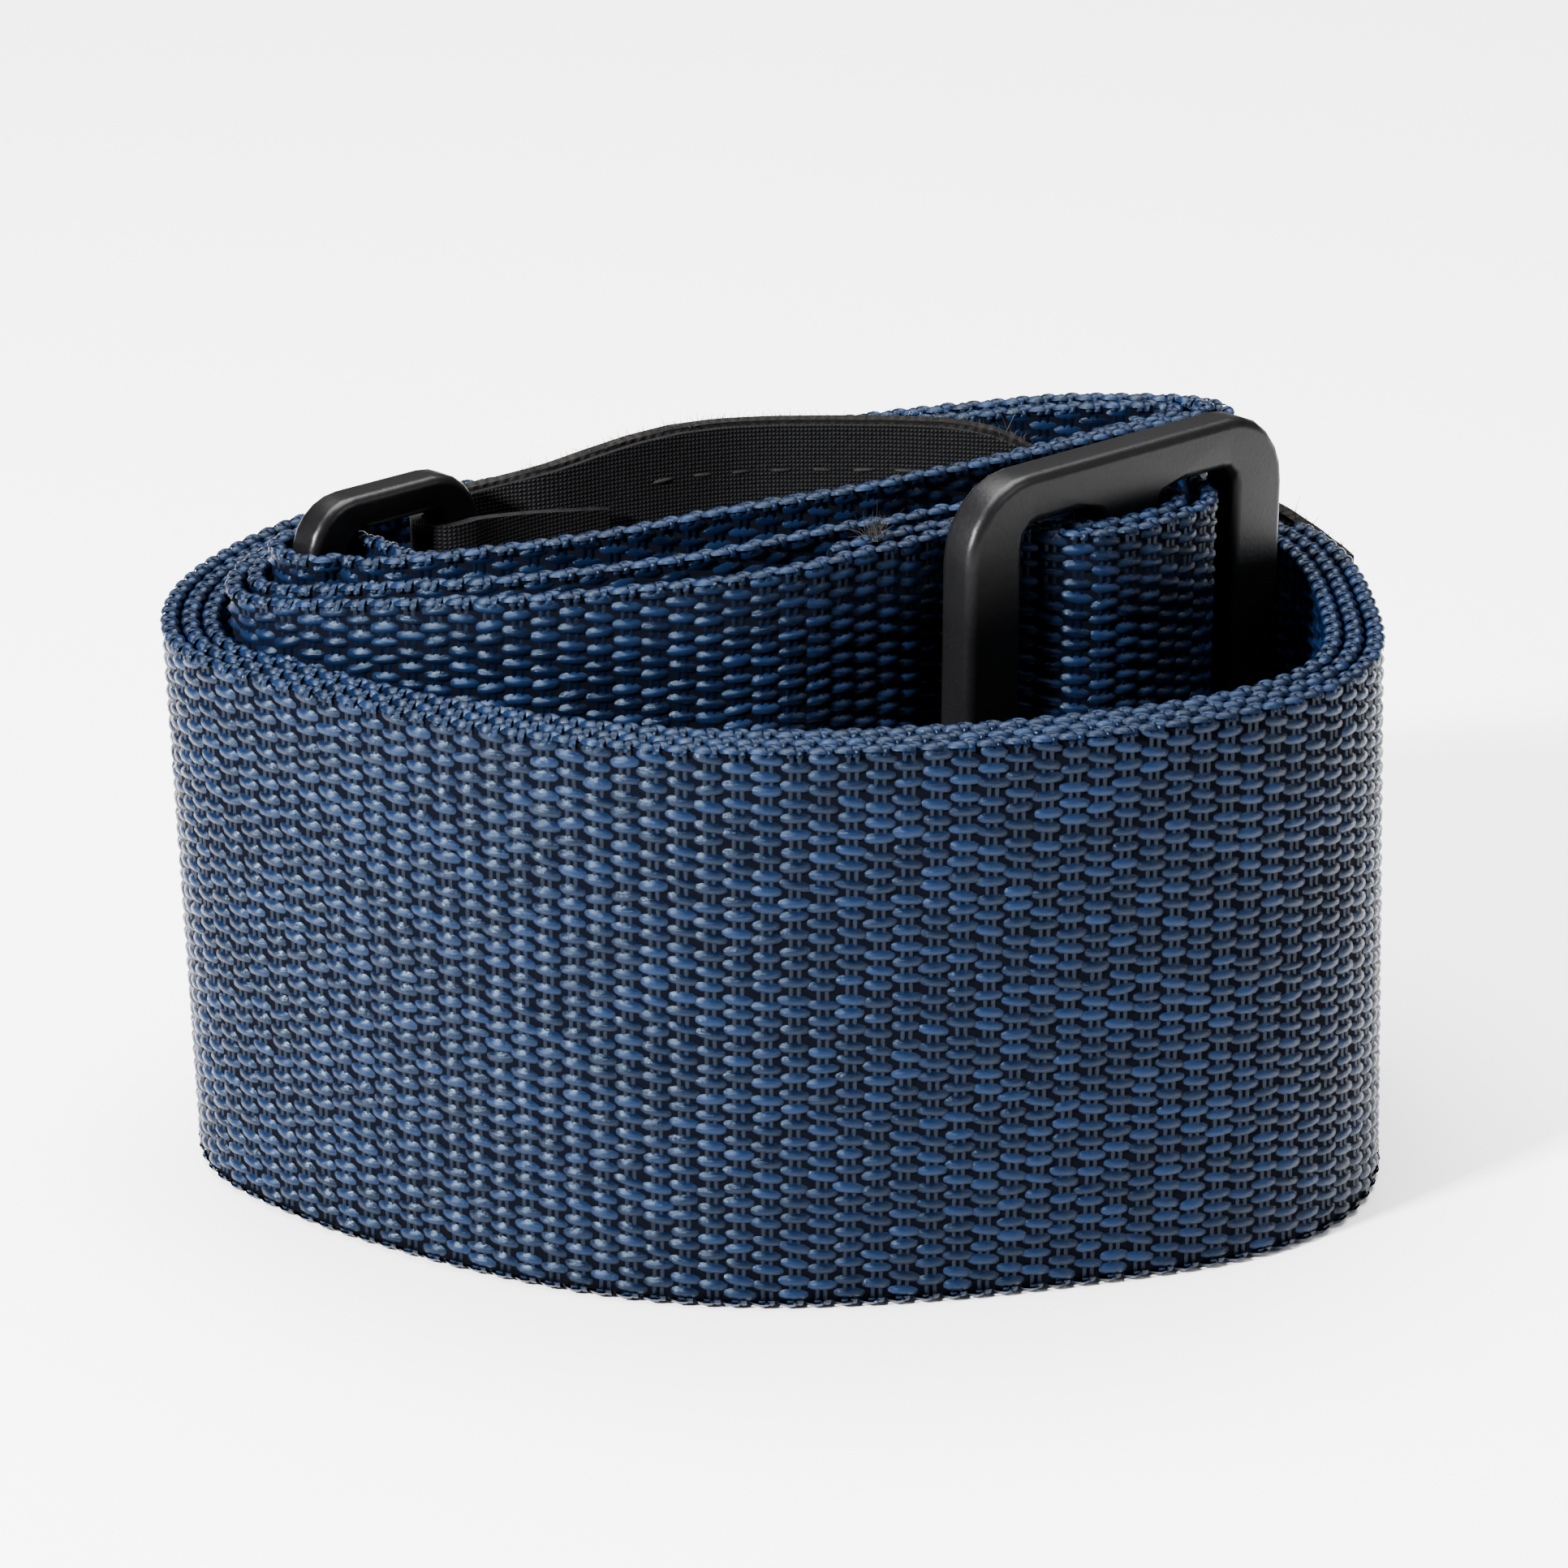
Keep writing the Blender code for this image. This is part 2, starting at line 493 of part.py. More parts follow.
def make_webbing(mat):
    """The strap's whole length as one smooth path, cut into stretches."""
    chain, ends = [], []
    for name, points, step in STRETCHES:
        chain += points
        ends.append((name, len(chain) - 1, step))
    for name, a, b in TURN_CUTS:
        points = roll_points(a, b)
        chain += points if a == TURN_START else points[1:]
        ends.append((name, len(chain) - 1, 4.0))
    for k, (a, b) in enumerate(zip(OUTER_CUTS, OUTER_CUTS[1:])):
        chain += roll_points(a, b, spacing=6.0)[1:]
        name = "webbing_end" if b == TURN_END else "webbing_outer_turn_%d" % (k + 1)
        ends.append((name, len(chain) - 1, 4.0))
    fine = smooth(chain, 0.25)
    fine[:, 2] = np.maximum(fine[:, 2], WEB_WIDTH)
    sides = sideways(fine)
    marks = [int(np.argmin(np.linalg.norm(fine[:, :3] - np.array(chain[i]), axis=1))) for _, i, _ in ends]
    start = 0
    for (name, _, step), mark in zip(ends, marks):
        skip = max(1, int(round(step / 0.25)))
        rows = list(range(start, mark + 1, skip))
        if mark - rows[-1] > skip // 2:
            rows.append(mark)
        else:
            rows[-1] = mark
        path, side = fine[rows].copy(), sides[rows]
        trim = FIT if start else 0.0
        path[0, :2] += trim * np.array([side[0][1], -side[0][0]])
        path[-1, :2] -= FIT * np.array([side[-1][1], -side[-1][0]])
        origin = end_pivot() if name == "webbing_end" else None
        ribbon(name, path, side, mat, origin=origin)
        start = mark
    return fine


def build():
    for ob in list(bpy.data.objects):
        bpy.data.objects.remove(ob, do_unlink=True)
    webbing = material("webbing_blue", (0.02, 0.045, 0.12), 0.45)
    plastic = material("black_plastic", (0.02, 0.02, 0.021), 0.4)
    leather = material("black_split_leather", (0.025, 0.024, 0.023), 0.85)
    lining = material("black_lining", (0.02, 0.02, 0.022), 0.7)
    thread = material("black_thread", (0.03, 0.03, 0.03), 0.6)
    make_webbing(webbing)
    make_slider(plastic)
    make_loop(plastic)
    make_inner_tab(leather, lining, thread)
    make_end_tab(leather, lining, thread)
    make_tack(thread)


build()
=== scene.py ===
"""The looks of the rolled guitar strap: its yarns, sewn tabs, stitches and loose fibres, in millimetres."""
import json
import math

import bmesh
import bpy
import numpy as np
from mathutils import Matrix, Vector

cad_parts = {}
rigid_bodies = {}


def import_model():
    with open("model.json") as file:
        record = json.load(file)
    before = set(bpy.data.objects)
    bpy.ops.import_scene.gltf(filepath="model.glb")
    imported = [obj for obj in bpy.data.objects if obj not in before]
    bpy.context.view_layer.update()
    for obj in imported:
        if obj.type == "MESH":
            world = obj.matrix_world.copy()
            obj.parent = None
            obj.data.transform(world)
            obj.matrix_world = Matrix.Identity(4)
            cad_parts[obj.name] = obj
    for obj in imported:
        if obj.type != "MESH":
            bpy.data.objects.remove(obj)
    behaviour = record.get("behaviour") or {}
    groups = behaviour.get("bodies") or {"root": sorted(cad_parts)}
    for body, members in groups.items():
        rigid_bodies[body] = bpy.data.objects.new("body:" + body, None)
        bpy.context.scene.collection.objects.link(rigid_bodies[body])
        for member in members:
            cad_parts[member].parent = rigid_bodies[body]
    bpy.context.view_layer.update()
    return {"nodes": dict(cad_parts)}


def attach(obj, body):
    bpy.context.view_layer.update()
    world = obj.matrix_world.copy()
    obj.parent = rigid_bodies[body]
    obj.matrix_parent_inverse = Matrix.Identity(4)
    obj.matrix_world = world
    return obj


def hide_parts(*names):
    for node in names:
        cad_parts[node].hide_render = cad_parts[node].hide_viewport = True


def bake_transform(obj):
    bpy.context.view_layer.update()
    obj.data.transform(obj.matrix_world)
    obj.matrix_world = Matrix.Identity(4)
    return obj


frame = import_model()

MM = 0.001
FIT = 0.15            # half of the clearance kept between pieces that meet end to end

# Webbing
WEB_WIDTH = 50.0
WEB_THICK = 1.5
HALF_WEB = WEB_WIDTH / 2
PLY = 1.8             # pitch of plies that lie on each other

# Roll: the outer face of the outermost turn is an oval with a changing roundness
ROLL_X = 0.6
ROLL_Y = -7.6
ROLL_A = 52.6
ROLL_B_FRONT = 36.0
ROLL_B_BACK = 38.6
ROLL_TURNS = 3
TURN_START = 162.0    # degrees, counter-clockwise from +X
TURN_END = 1080.0 + 26.0
END_HINGE = 1080.0 + 13.0

# Middle of the roll's footprint, which becomes the origin
CENTRE = (0.68, -5.2)

# Slider: left end of its front face, and its direction in plan
SLIDER_AT = (17.3, -22.8)
SLIDER_TURN = 41.3

# Rectangular loop: left end of its middle plane
LOOP_AT = (-39.5, -12.0)
LOOP_TURN = 43.0
LOOP_LENGTH = 18.6
LOOP_HEIGHT = 57.6
LOOP_THICK = 3.6
LOOP_TOP = 60.0
LOOP_BAR = 4.0

# End tabs
LEATHER = 1.4
LINING = 0.6
TAB_HALF_NECK = 24.6
TAB_HALF_WIDE = 27.2
TAB_LENGTH = 62.0
TAB_WIDEN = 24.0
TAB_TAPER = 20.0
TAB_SINK = 33.2       # height of the middle of the inner tab
STITCH_INSET = 4.5
SLOT_RADIUS = 4.2
SLOT_NECK = 3.0
SLOT_LENGTH = 13.0
END_TAB_MIDDLE = 25.6
END_TAB_SLIM = 1.8     # the hidden tab is narrower by this much on each edge
FLAP_THICK = 1.0
FLAP_LENGTH = 17.0


# Weave, in millimetres
COLUMN = 2.27          # along the strap, from one column of floats to the next
FLOAT_LONG = 3.0
FLOAT_WIDE = 1.14
END_REPEAT = 4.27
ENDS_B = (0.0, 0.295, 0.639)
ENDS_A = (0.115, 0.459, 0.754)
CORE_HALF = 0.36
CROWN = 0.76           # from the middle of the ply to the top of a float
EDGE_DROP = 0.55       # from the top edge to the core's edge
PICK_INSET = 0.7       # from the strap's edge to the end of a pick

# Sewing
STITCH_PITCH = 3.8     # along the tabs' edges
SEAM_PITCH = 3.6       # across the flap and the end tab
END_LINING_FROM = 12.5  # where the end tab's lining starts, past the webbing's end
TACK_HEIGHT = 59.3     # top of the sewn tail
FLOOR_GAP = 0.1


def smooth(points, step):
    """Points every `step` along a chord-length Catmull-Rom curve through `points`."""
    p = np.array(points, float)
    p = np.vstack([2 * p[0] - p[1], p, 2 * p[-1] - p[-2]])
    knots = np.concatenate([[0], np.cumsum(np.linalg.norm(np.diff(p, axis=0), axis=1) ** 0.5)])
    fine = []
    for i in range(1, len(p) - 2):
        k0, k1, k2, k3 = knots[i - 1:i + 3]
        for t in np.linspace(k1, k2, 24, endpoint=False):
            a1 = (k1 - t) / (k1 - k0) * p[i - 1] + (t - k0) / (k1 - k0) * p[i]
            a2 = (k2 - t) / (k2 - k1) * p[i] + (t - k1) / (k2 - k1) * p[i + 1]
            a3 = (k3 - t) / (k3 - k2) * p[i + 1] + (t - k2) / (k3 - k2) * p[i + 2]
            b1 = (k2 - t) / (k2 - k0) * a1 + (t - k0) / (k2 - k0) * a2
            b2 = (k3 - t) / (k3 - k1) * a2 + (t - k1) / (k3 - k1) * a3
            fine.append((k2 - t) / (k2 - k1) * b1 + (t - k1) / (k2 - k1) * b2)
    fine.append(p[-2])
    fine = np.array(fine)
    along = np.concatenate([[0], np.cumsum(np.linalg.norm(np.diff(fine, axis=0), axis=1))])
    count = max(2, int(round(along[-1] / step)) + 1)
    wanted = np.linspace(0, along[-1], count)
    return np.column_stack([np.interp(wanted, along, fine[:, k]) for k in range(fine.shape[1])])


def frame_point(at, turn, along, behind):
    """Plan position `along` a plate and `behind` its reference face."""
    c, s = math.cos(math.radians(turn)), math.sin(math.radians(turn))
    return at[0] + along * c - behind * s, at[1] + along * s + behind * c


def by_slider(pairs, top):
    return [(*frame_point(SLIDER_AT, SLIDER_TURN, a, b), top) for a, b in pairs]


def by_loop(pairs, top):
    return [(*frame_point(LOOP_AT, LOOP_TURN, a, b), top) for a, b in pairs]


def oval(degrees, inward):
    """Plan point of the roll's oval, moved in by `inward` along its normal."""
    def on(deg):
        c, s = math.cos(math.radians(deg)), math.sin(math.radians(deg))
        n = 2.35 + 0.45 * c + 0.47 * s + 0.3 * math.exp(-((deg % 360 - 194) / 18) ** 2)
        b = ROLL_B_BACK if s > 0 else ROLL_B_FRONT
        return np.array([ROLL_X + math.copysign(ROLL_A * abs(c) ** (2 / n), c),
                         ROLL_Y + math.copysign(b * abs(s) ** (2 / n), s)])
    ahead = on(degrees + 1.5) - on(degrees - 1.5)
    ahead /= np.linalg.norm(ahead)
    return on(degrees) + inward * np.array([-ahead[1], ahead[0]])


def turn_inset(degrees):
    """Distance of the webbing's middle inside the oval: each turn lies on the last one."""
    inset = WEB_THICK / 2 + PLY * (ROLL_TURNS - 1)
    for k in range(1, ROLL_TURNS):
        step = min(1.0, max(0.0, (degrees - (360 * k + 45)) / 90))
        inset -= PLY * step * step * (3 - 2 * step)
    return inset


def roll_points(start, end, top=WEB_WIDTH, spacing=9.0):
    count = int(round((end - start) / spacing))
    angles = np.linspace(start, end, count + 1)
    return [(*oval(d, turn_inset(d)), top) for d in angles]


TAIL_AND_LOOP = by_slider([(-7.2, 9.6), (-2, 9.2), (3, 8.7), (6.8, 7.3), (9.4, 5.1), (11.4, 2.5),
                    (13.1, 0.3), (15.7, -1.0), (19.4, -1.3), (22.8, -1.1), (24.8, 0.0), (25.6, 1.8),
                    (25.0, 3.9), (22.6, 5.3), (17.6, 6.8), (12.6, 9.0), (8, 11.0),
                    (2.2, 11.8)], 59.3)
STANDING = [(8.3, -13.5, 59.3), (4.6, -15.5, 59.2), (-3.1, -19.3, 58.8), (-9.8, -21.2, 58.3),
            (-17.4, -22.5, 57.8), (-23, -22.7, 57.3), (-29.2, -21.2, 56.5), (-35.5, -19.2, 55.5),
            (-39.8, -17.4, 54.8)]
INNER_LEFT = [(-42.5, -14.9, 54.4), (-43.3, -11.2, 54.2), (-42.2, -6.2, 54.2), (-38.5, -1.2, 54.2),
              (-33, 3.8, 54.2)]
INNER_BACK = [(-27, 6.7, 54.3), (-20, 8.9, 54.8), (-12, 12.2, 55.8), (-4, 14.7, 57.2), (4, 15.4, 58.6),
              (12, 15.1, 59.6), (19, 15.3, 60.2), (26, 15.5, 60.8), (31.5, 15.3, 61.1)]
INNER_RIGHT = [(35.4, 14.9, 61.2), (37.2, 13.9, 61.2), (36.8, 12.5, 61.2), (34.4, 10.5, 61.1),
               (30, 7.4, 61.0)]
INNER_FRONT = [(24, 3.1, 60.8), (17.4, -1.2, 60.4), (8.4, -6.6, 60.2), (1.2, -9.1, 59.8),
               (-4, -10.5, 59.2), (-11.2, -12.7, 58.4), (-17.8, -14.0, 57.6), (-25.4, -14.3, 56.9),
               (-29.4, -13.6, 56.5)]
LOOP_TURN_ROUND = by_loop([(6.2, -4.6), (6.3, -2.0), (5.9, 0.8), (4.6, 3.1), (2.6, 3.9), (0.4, 3.4),
                    (-1.15, 1.5), (-1.3, -1.0), (-0.5, -3.0), (1.4, -4.1)], 56.4)
OUTER_FRONT = [(-34.0, -15.3, 56.5), (-30.6, -16.1, 56.9), (-25, -16.5, 57.7), (-17.8, -16.1, 58.5),
               (-11.0, -14.7, 59.2), (-3.6, -12.4, 60.0), (2.2, -10.9, 60.5), (9.3, -8.4, 61.0),
               (13.9, -5.6, 61.2)]
OUTER_RIGHT = [(18.4, -2.9, 61.2), (25.2, 1.6, 61.3), (31.2, 5.9, 61.4), (35.8, 9.2, 61.4),
               (38.9, 11.6, 61.5), (39.9, 13.9, 61.5), (38.2, 16.0, 61.4), (33, 17.1, 61.3)]
OUTER_BACK = [(26, 17.4, 61.1), (19, 17.2, 60.5), (12, 17.0, 59.8), (4, 17.3, 58.6), (-4.5, 16.6, 57.0),
              (-12.8, 14.0, 55.5), (-21, 10.7, 54.5), (-28, 8.5, 54.0)]
OUTER_LEFT = [(-34.3, 5.7, 53.8), (-39.8, 0.7, 53.7), (-43.9, -5.0, 53.6), (-45.2, -10.9, 53.6),
              (-44.4, -15.4, 53.7)]
ADJUSTING = [(-41.2, -18.8, 54.1), (-36.4, -20.9, 54.7), (-29.6, -23.2, 55.6), (-22.8, -24.7, 56.3),
             (-16.9, -25.0, 56.8), (-9.3, -24.9, 57.5), (-3, -24.9, 58.2), (3.9, -23.6, 59.0),
             (8.6, -20.9, 59.3)]
OVER_SLIDER = by_slider([(-1.2, 6.6), (3.5, 6.6), (6.6, 5.2), (8.7, 2.7), (10.7, -0.4),
                    (13.2, -2.4), (16.5, -3.2), (19.6, -3.3), (23.0, -3.0), (26.3, -2.0),
                    (28.2, 0.0), (29.6, 2.7), (31.2, 5.4), (33.9, 7.2)], 59.3)
LEAVING = [(*frame_point(SLIDER_AT, SLIDER_TURN, 37.4, 8.3), 59.8), (41.9, 12.0, 60.6),
           (41.3, 15.4, 61.0), (38.4, 18.2, 60.8), (33.5, 19.2, 60.2)]
LEAVING_BACK = [(27, 19.4, 59.5), (19, 19.5, 58.4), (11, 19.9, 56.6), (3, 20.5, 54.6), (-6, 20.7, 52.6),
                (-16, 19.9, 51.2), (-26, 17.6, 50.4), (-34, 14.4, 50.0), (-40.2, 11.0, 50.0)]

def sideways(plan):
    """Unit vectors to the left of each step of a plan path."""
    d = np.gradient(plan[:, :2], axis=0)
    d /= np.linalg.norm(d, axis=1)[:, None]
    return np.column_stack([-d[:, 1], d[:, 0]])


def flat_solid(outline, holes, y0, y1):
    """A plate in the XZ plane from y0 to y1, with holes right through it."""
    bm = bmesh.new()
    edges = []
    for loop in (outline, *holes):
        verts = [bm.verts.new((x, y0, z)) for x, z in loop]
        edges += [bm.edges.new((verts[i - 1], verts[i])) for i in range(len(verts))]
    filled = bmesh.ops.triangle_fill(bm, edges=edges, use_beauty=True)
    faces = [g for g in filled["geom"] if isinstance(g, bmesh.types.BMFace)]
    grown = bmesh.ops.extrude_face_region(bm, geom=faces)
    moved = [g for g in grown["geom"] if isinstance(g, bmesh.types.BMVert)]
    bmesh.ops.translate(bm, verts=moved, vec=(0, y1 - y0, 0))
    return bm


def bend(bm, path, middle):
    """Lays a flat solid along a plan path: X follows the path, Y goes to its left."""
    along = np.concatenate([[0], np.cumsum(np.linalg.norm(np.diff(path[:, :2], axis=0), axis=1))])
    side = sideways(path)
    for v in bm.verts:
        x, y, z = v.co
        px, py = (np.interp(x, along, path[:, k]) for k in (0, 1))
        sx, sy = (np.interp(x, along, side[:, k]) for k in (0, 1))
        v.co = (px + sx * y, py + sy * y, middle(x) + z)


def tab_half_width(x):
    """Half the width of a tab, from its neck (x = 0) to its rounded end."""
    grow = min(1.0, max(0.0, x / TAB_WIDEN))
    half = TAB_HALF_NECK + (TAB_HALF_WIDE - TAB_HALF_NECK) * grow * grow * (3 - 2 * grow)
    into_taper = max(0.0, (x - (TAB_LENGTH - TAB_TAPER)) / TAB_TAPER)
    return half * max(0.0, 1 - into_taper ** 3.2) ** 0.45


def tab_outline(inset=0.0, start=0.0, slim=0.0):
    """The tab's outline, moved in by `inset`, of a tab narrower by `slim` on each edge."""
    reach = TAB_LENGTH - start - 2 * inset
    stations = [start + inset + reach * (1 - (1 - t) ** 1.8) for t in np.linspace(0, 1, 26)]
    upper = [(x, tab_half_width(x + inset * 0.5) - inset - slim) for x in stations]
    upper = [(x, max(h, 0.0)) for x, h in upper]
    upper = [p for p in upper[:-1] if p[1] > 1.0] + [(stations[-1], 0.0)]
    return [(x, h) for x, h in upper] + [(x, -h) for x, h in reversed(upper[:-1])]


def button_slot():
    """A keyhole for the strap button: a round hole with a narrow slit towards the neck."""
    centre = TAB_LENGTH - 15.0
    neck = SLOT_NECK / 2
    reach = math.degrees(math.asin(neck / SLOT_RADIUS))
    arc = [math.radians(a) for a in np.linspace(180 - reach, -(180 - reach), 15)]
    points = [(centre + SLOT_RADIUS * math.cos(a), SLOT_RADIUS * math.sin(a)) for a in arc]
    end = centre - SLOT_LENGTH
    return points + [(end, -neck), (end, neck)]


INNER_TAB = [(*frame_point(LOOP_AT, LOOP_TURN, 19.3, 3.9), 0), (-23.4, 5.0, 0), (-20, 5.4, 0),
             (-13, 8.1, 0), (-3.6, 11.6, 0), (4.3, 12.5, 0), (15.2, 12.1, 0), (24, 11.4, 0),
             (30, 11.6, 0), (35, 12.6, 0)]


def inner_tab_middle(x):
    """The inner tab stands a little higher along its middle than at the loop."""
    return TAB_SINK - 1.6 * (1 - min(1.0, x / 22.0)) ** 2 - 0.6 * max(0.0, (x - 40) / 26) ** 2


def end_tab_path(inset):
    """Along the outside of the roll from the webbing's end, then straight along its back."""
    start = END_HINGE + 3.5
    points = [(*oval(d, inset), 0) for d in np.arange(start, 1080 + 90, 6.0)]
    (x0, y0, _), (x1, y1, _) = points[-2:]
    step = math.hypot(x1 - x0, y1 - y0)
    ahead = ((x1 - x0) / step, (y1 - y0) / step)
    points += [(x1 + ahead[0] * k, y1 + ahead[1] * k, 0) for k in (2, 4, 8, 16, 24, 32)]
    return smooth(points, 1.0)


STRETCHES = [
    ("webbing_tail_loop", TAIL_AND_LOOP, 1.3), ("webbing_standing_ply", STANDING, 3.0),
    ("webbing_inner_left_bend", INNER_LEFT, 1.8), ("webbing_inner_back_run", INNER_BACK, 4.0),
    ("webbing_inner_right_bend", INNER_RIGHT, 0.9), ("webbing_inner_front_run", INNER_FRONT, 4.0),
    ("webbing_loop_turn", LOOP_TURN_ROUND, 0.9), ("webbing_outer_front_run", OUTER_FRONT, 4.0),
    ("webbing_outer_right_bend", OUTER_RIGHT, 1.6), ("webbing_outer_back_run", OUTER_BACK, 4.0),
    ("webbing_outer_left_bend", OUTER_LEFT, 2.4), ("webbing_adjusting_ply", ADJUSTING, 4.0),
    ("webbing_over_slider", OVER_SLIDER, 1.3), ("webbing_leaving_bend", LEAVING, 1.5),
    ("webbing_leaving_run", LEAVING_BACK, 4.0)]
TURN_CUTS = [
    ("webbing_turn_1_left_front", TURN_START, 270), ("webbing_turn_1_right_back", 270, 405),
    ("webbing_turn_2_left_front", 405, 630), ("webbing_turn_2_right_back", 630, 765)]
OUTER_CUTS = [765, 810, 860, 905, 945, 975, 1010, 1045, 1080, END_HINGE, TURN_END]


# ---------------------------------------------------------------- materials

def node_material(name):
    mat = bpy.data.materials.new(name)
    mat.use_nodes = True
    tree = mat.node_tree
    return mat, tree, tree.nodes["Principled BSDF"]


def add_node(tree, kind, **values):
    node = tree.nodes.new(kind)
    for key, value in values.items():
        if key in node.inputs:
            node.inputs[key].default_value = value
        else:
            setattr(node, key, value)
    return node


def ramp(tree, source, stops):
    """A colour ramp from (position, colour) pairs."""
    node = tree.nodes.new("ShaderNodeValToRGB")
    for element, (pos, colour) in zip(node.color_ramp.elements, (stops[0], stops[-1])):
        element.position, element.color = pos, (*colour, 1)
    for pos, colour in stops[1:-1]:
        node.color_ramp.elements.new(pos).color = (*colour, 1)
    tree.links.new(source, node.inputs["Fac"])
    return node


def bump(tree, shader, height, strength, distance):
    node = add_node(tree, "ShaderNodeBump", Strength=strength, Distance=distance)
    tree.links.new(height, node.inputs["Height"])
    tree.links.new(node.outputs["Normal"], shader.inputs["Normal"])
    return node


def yarn_material(name, dark, mid, light, rough, shine=0.5, tint=(1, 1, 1)):
    """Glossy filament yarn: fine striations along each float, and a shade of its own for each."""
    mat, tree, shader = node_material(name)
    attr = add_node(tree, "ShaderNodeAttribute", attribute_name="yarn")
    split = tree.nodes.new("ShaderNodeSeparateXYZ")
    tree.links.new(attr.outputs["Vector"], split.inputs[0])
    scale = add_node(tree, "ShaderNodeVectorMath", operation="MULTIPLY")
    scale.inputs[1].default_value = (1.6, 13.0, 40.0)
    tree.links.new(attr.outputs["Vector"], scale.inputs[0])
    noise = add_node(tree, "ShaderNodeTexNoise", Scale=1.0, Detail=3.0, Roughness=0.6)
    tree.links.new(scale.outputs[0], noise.inputs["Vector"])
    mix = add_node(tree, "ShaderNodeMath", operation="MULTIPLY_ADD")
    mix.inputs[1].default_value = 0.55
    tree.links.new(split.outputs["Z"], mix.inputs[0])
    half = add_node(tree, "ShaderNodeMath", operation="MULTIPLY")
    half.inputs[1].default_value = 0.6
    tree.links.new(noise.outputs["Fac"], half.inputs[0])
    tree.links.new(half.outputs[0], mix.inputs[2])
    colour = ramp(tree, mix.outputs[0], [(0.15, dark), (0.5, mid), (0.9, light)])
    tree.links.new(colour.outputs["Color"], shader.inputs["Base Color"])
    shader.inputs["Roughness"].default_value = rough
    shader.inputs["Specular IOR Level"].default_value = shine
    shader.inputs["Specular Tint"].default_value = (*tint, 1)
    bump(tree, shader, noise.outputs["Fac"], 0.45, 0.0001)
    return mat


def cloth_material(name, dark, light, pitch, rough=0.8, strength=0.6, depth=0.00008):
    """A fine plain weave: two crossed waves with a soft unevenness."""
    mat, tree, shader = node_material(name)
    attr = add_node(tree, "ShaderNodeAttribute", attribute_name="flat")
    waves = []
    for axis in ("X", "Y"):
        wave = add_node(tree, "ShaderNodeTexWave", wave_type="BANDS", bands_direction=axis, Scale=1.0)
        wave.inputs["Distortion"].default_value = 0.6
        wave.inputs["Detail"].default_value = 1.0
        tree.links.new(attr.outputs["Vector"], wave.inputs["Vector"])
        wave.inputs["Scale"].default_value = 0.314 / pitch
        waves.append(wave)
    both = add_node(tree, "ShaderNodeMath", operation="MULTIPLY")
    for i, wave in enumerate(waves):
        tree.links.new(wave.outputs["Fac"], both.inputs[i])
    noise = add_node(tree, "ShaderNodeTexNoise", Scale=2.2, Detail=5.0, Roughness=0.65)
    tree.links.new(attr.outputs["Vector"], noise.inputs["Vector"])
    mix = add_node(tree, "ShaderNodeMath", operation="ADD")
    tree.links.new(both.outputs[0], mix.inputs[0])
    tree.links.new(noise.outputs["Fac"], mix.inputs[1])
    colour = ramp(tree, mix.outputs[0], [(0.35, dark), (1.25, light)])
    tree.links.new(colour.outputs["Color"], shader.inputs["Base Color"])
    shader.inputs["Roughness"].default_value = rough
    shader.inputs["Specular IOR Level"].default_value = 0.08
    bump(tree, shader, mix.outputs[0], strength, depth)
    return mat


def moulded_material(name, dark, light, rough, grain, depth):
    """Moulded plastic: fine grain, faint wear and a slight change of gloss."""
    mat, tree, shader = node_material(name)
    where = tree.nodes.new("ShaderNodeTexCoord")
    fine = add_node(tree, "ShaderNodeTexNoise", Scale=grain, Detail=4.0, Roughness=0.6)
    broad = add_node(tree, "ShaderNodeTexNoise", Scale=90.0, Detail=3.0, Roughness=0.5)
    for node in (fine, broad):
        tree.links.new(where.outputs["Object"], node.inputs["Vector"])
    colour = ramp(tree, broad.outputs["Fac"], [(0.3, dark), (0.75, light)])
    tree.links.new(colour.outputs["Color"], shader.inputs["Base Color"])
    shader.inputs["Specular IOR Level"].default_value = 0.14
    gloss = add_node(tree, "ShaderNodeMapRange")
    gloss.inputs["To Min"].default_value = rough - 0.07
    gloss.inputs["To Max"].default_value = rough + 0.1
    tree.links.new(fine.outputs["Fac"], gloss.inputs["Value"])
    tree.links.new(gloss.outputs["Result"], shader.inputs["Roughness"])
    bump(tree, shader, fine.outputs["Fac"], 0.5, depth)
    return mat


# ---------------------------------------------------------------- webbing path

def webbing_chain():
    chain, marks = [], []
    for name, points, _ in STRETCHES:
        chain += points
        marks.append((name, len(chain) - 1))
    for name, a, b in TURN_CUTS:
        points = roll_points(a, b)
        chain += points if a == TURN_START else points[1:]
        marks.append((name, len(chain) - 1))
    for k, (a, b) in enumerate(zip(OUTER_CUTS, OUTER_CUTS[1:])):
        chain += roll_points(a, b, spacing=6.0)[1:]
        name = "webbing_end" if b == TURN_END else "webbing_outer_turn_%d" % (k + 1)
        marks.append((name, len(chain) - 1))
    fine = smooth(chain, 0.25)
    fine[:, 2] = np.maximum(fine[:, 2], WEB_WIDTH)
    ends = {n: int(np.argmin(np.linalg.norm(fine - np.array(chain[i]), axis=1))) for n, i in marks}
    return fine, ends


def softened(values, reach):
    """A running mean that leaves the ends in place."""
    kernel = np.hanning(reach * 2 + 1)
    kernel /= kernel.sum()
    padded = np.pad(values, ((reach, reach), (0, 0)), mode="edge")
    return np.column_stack([np.convolve(padded[:, k], kernel, "valid") for k in range(values.shape[1])])


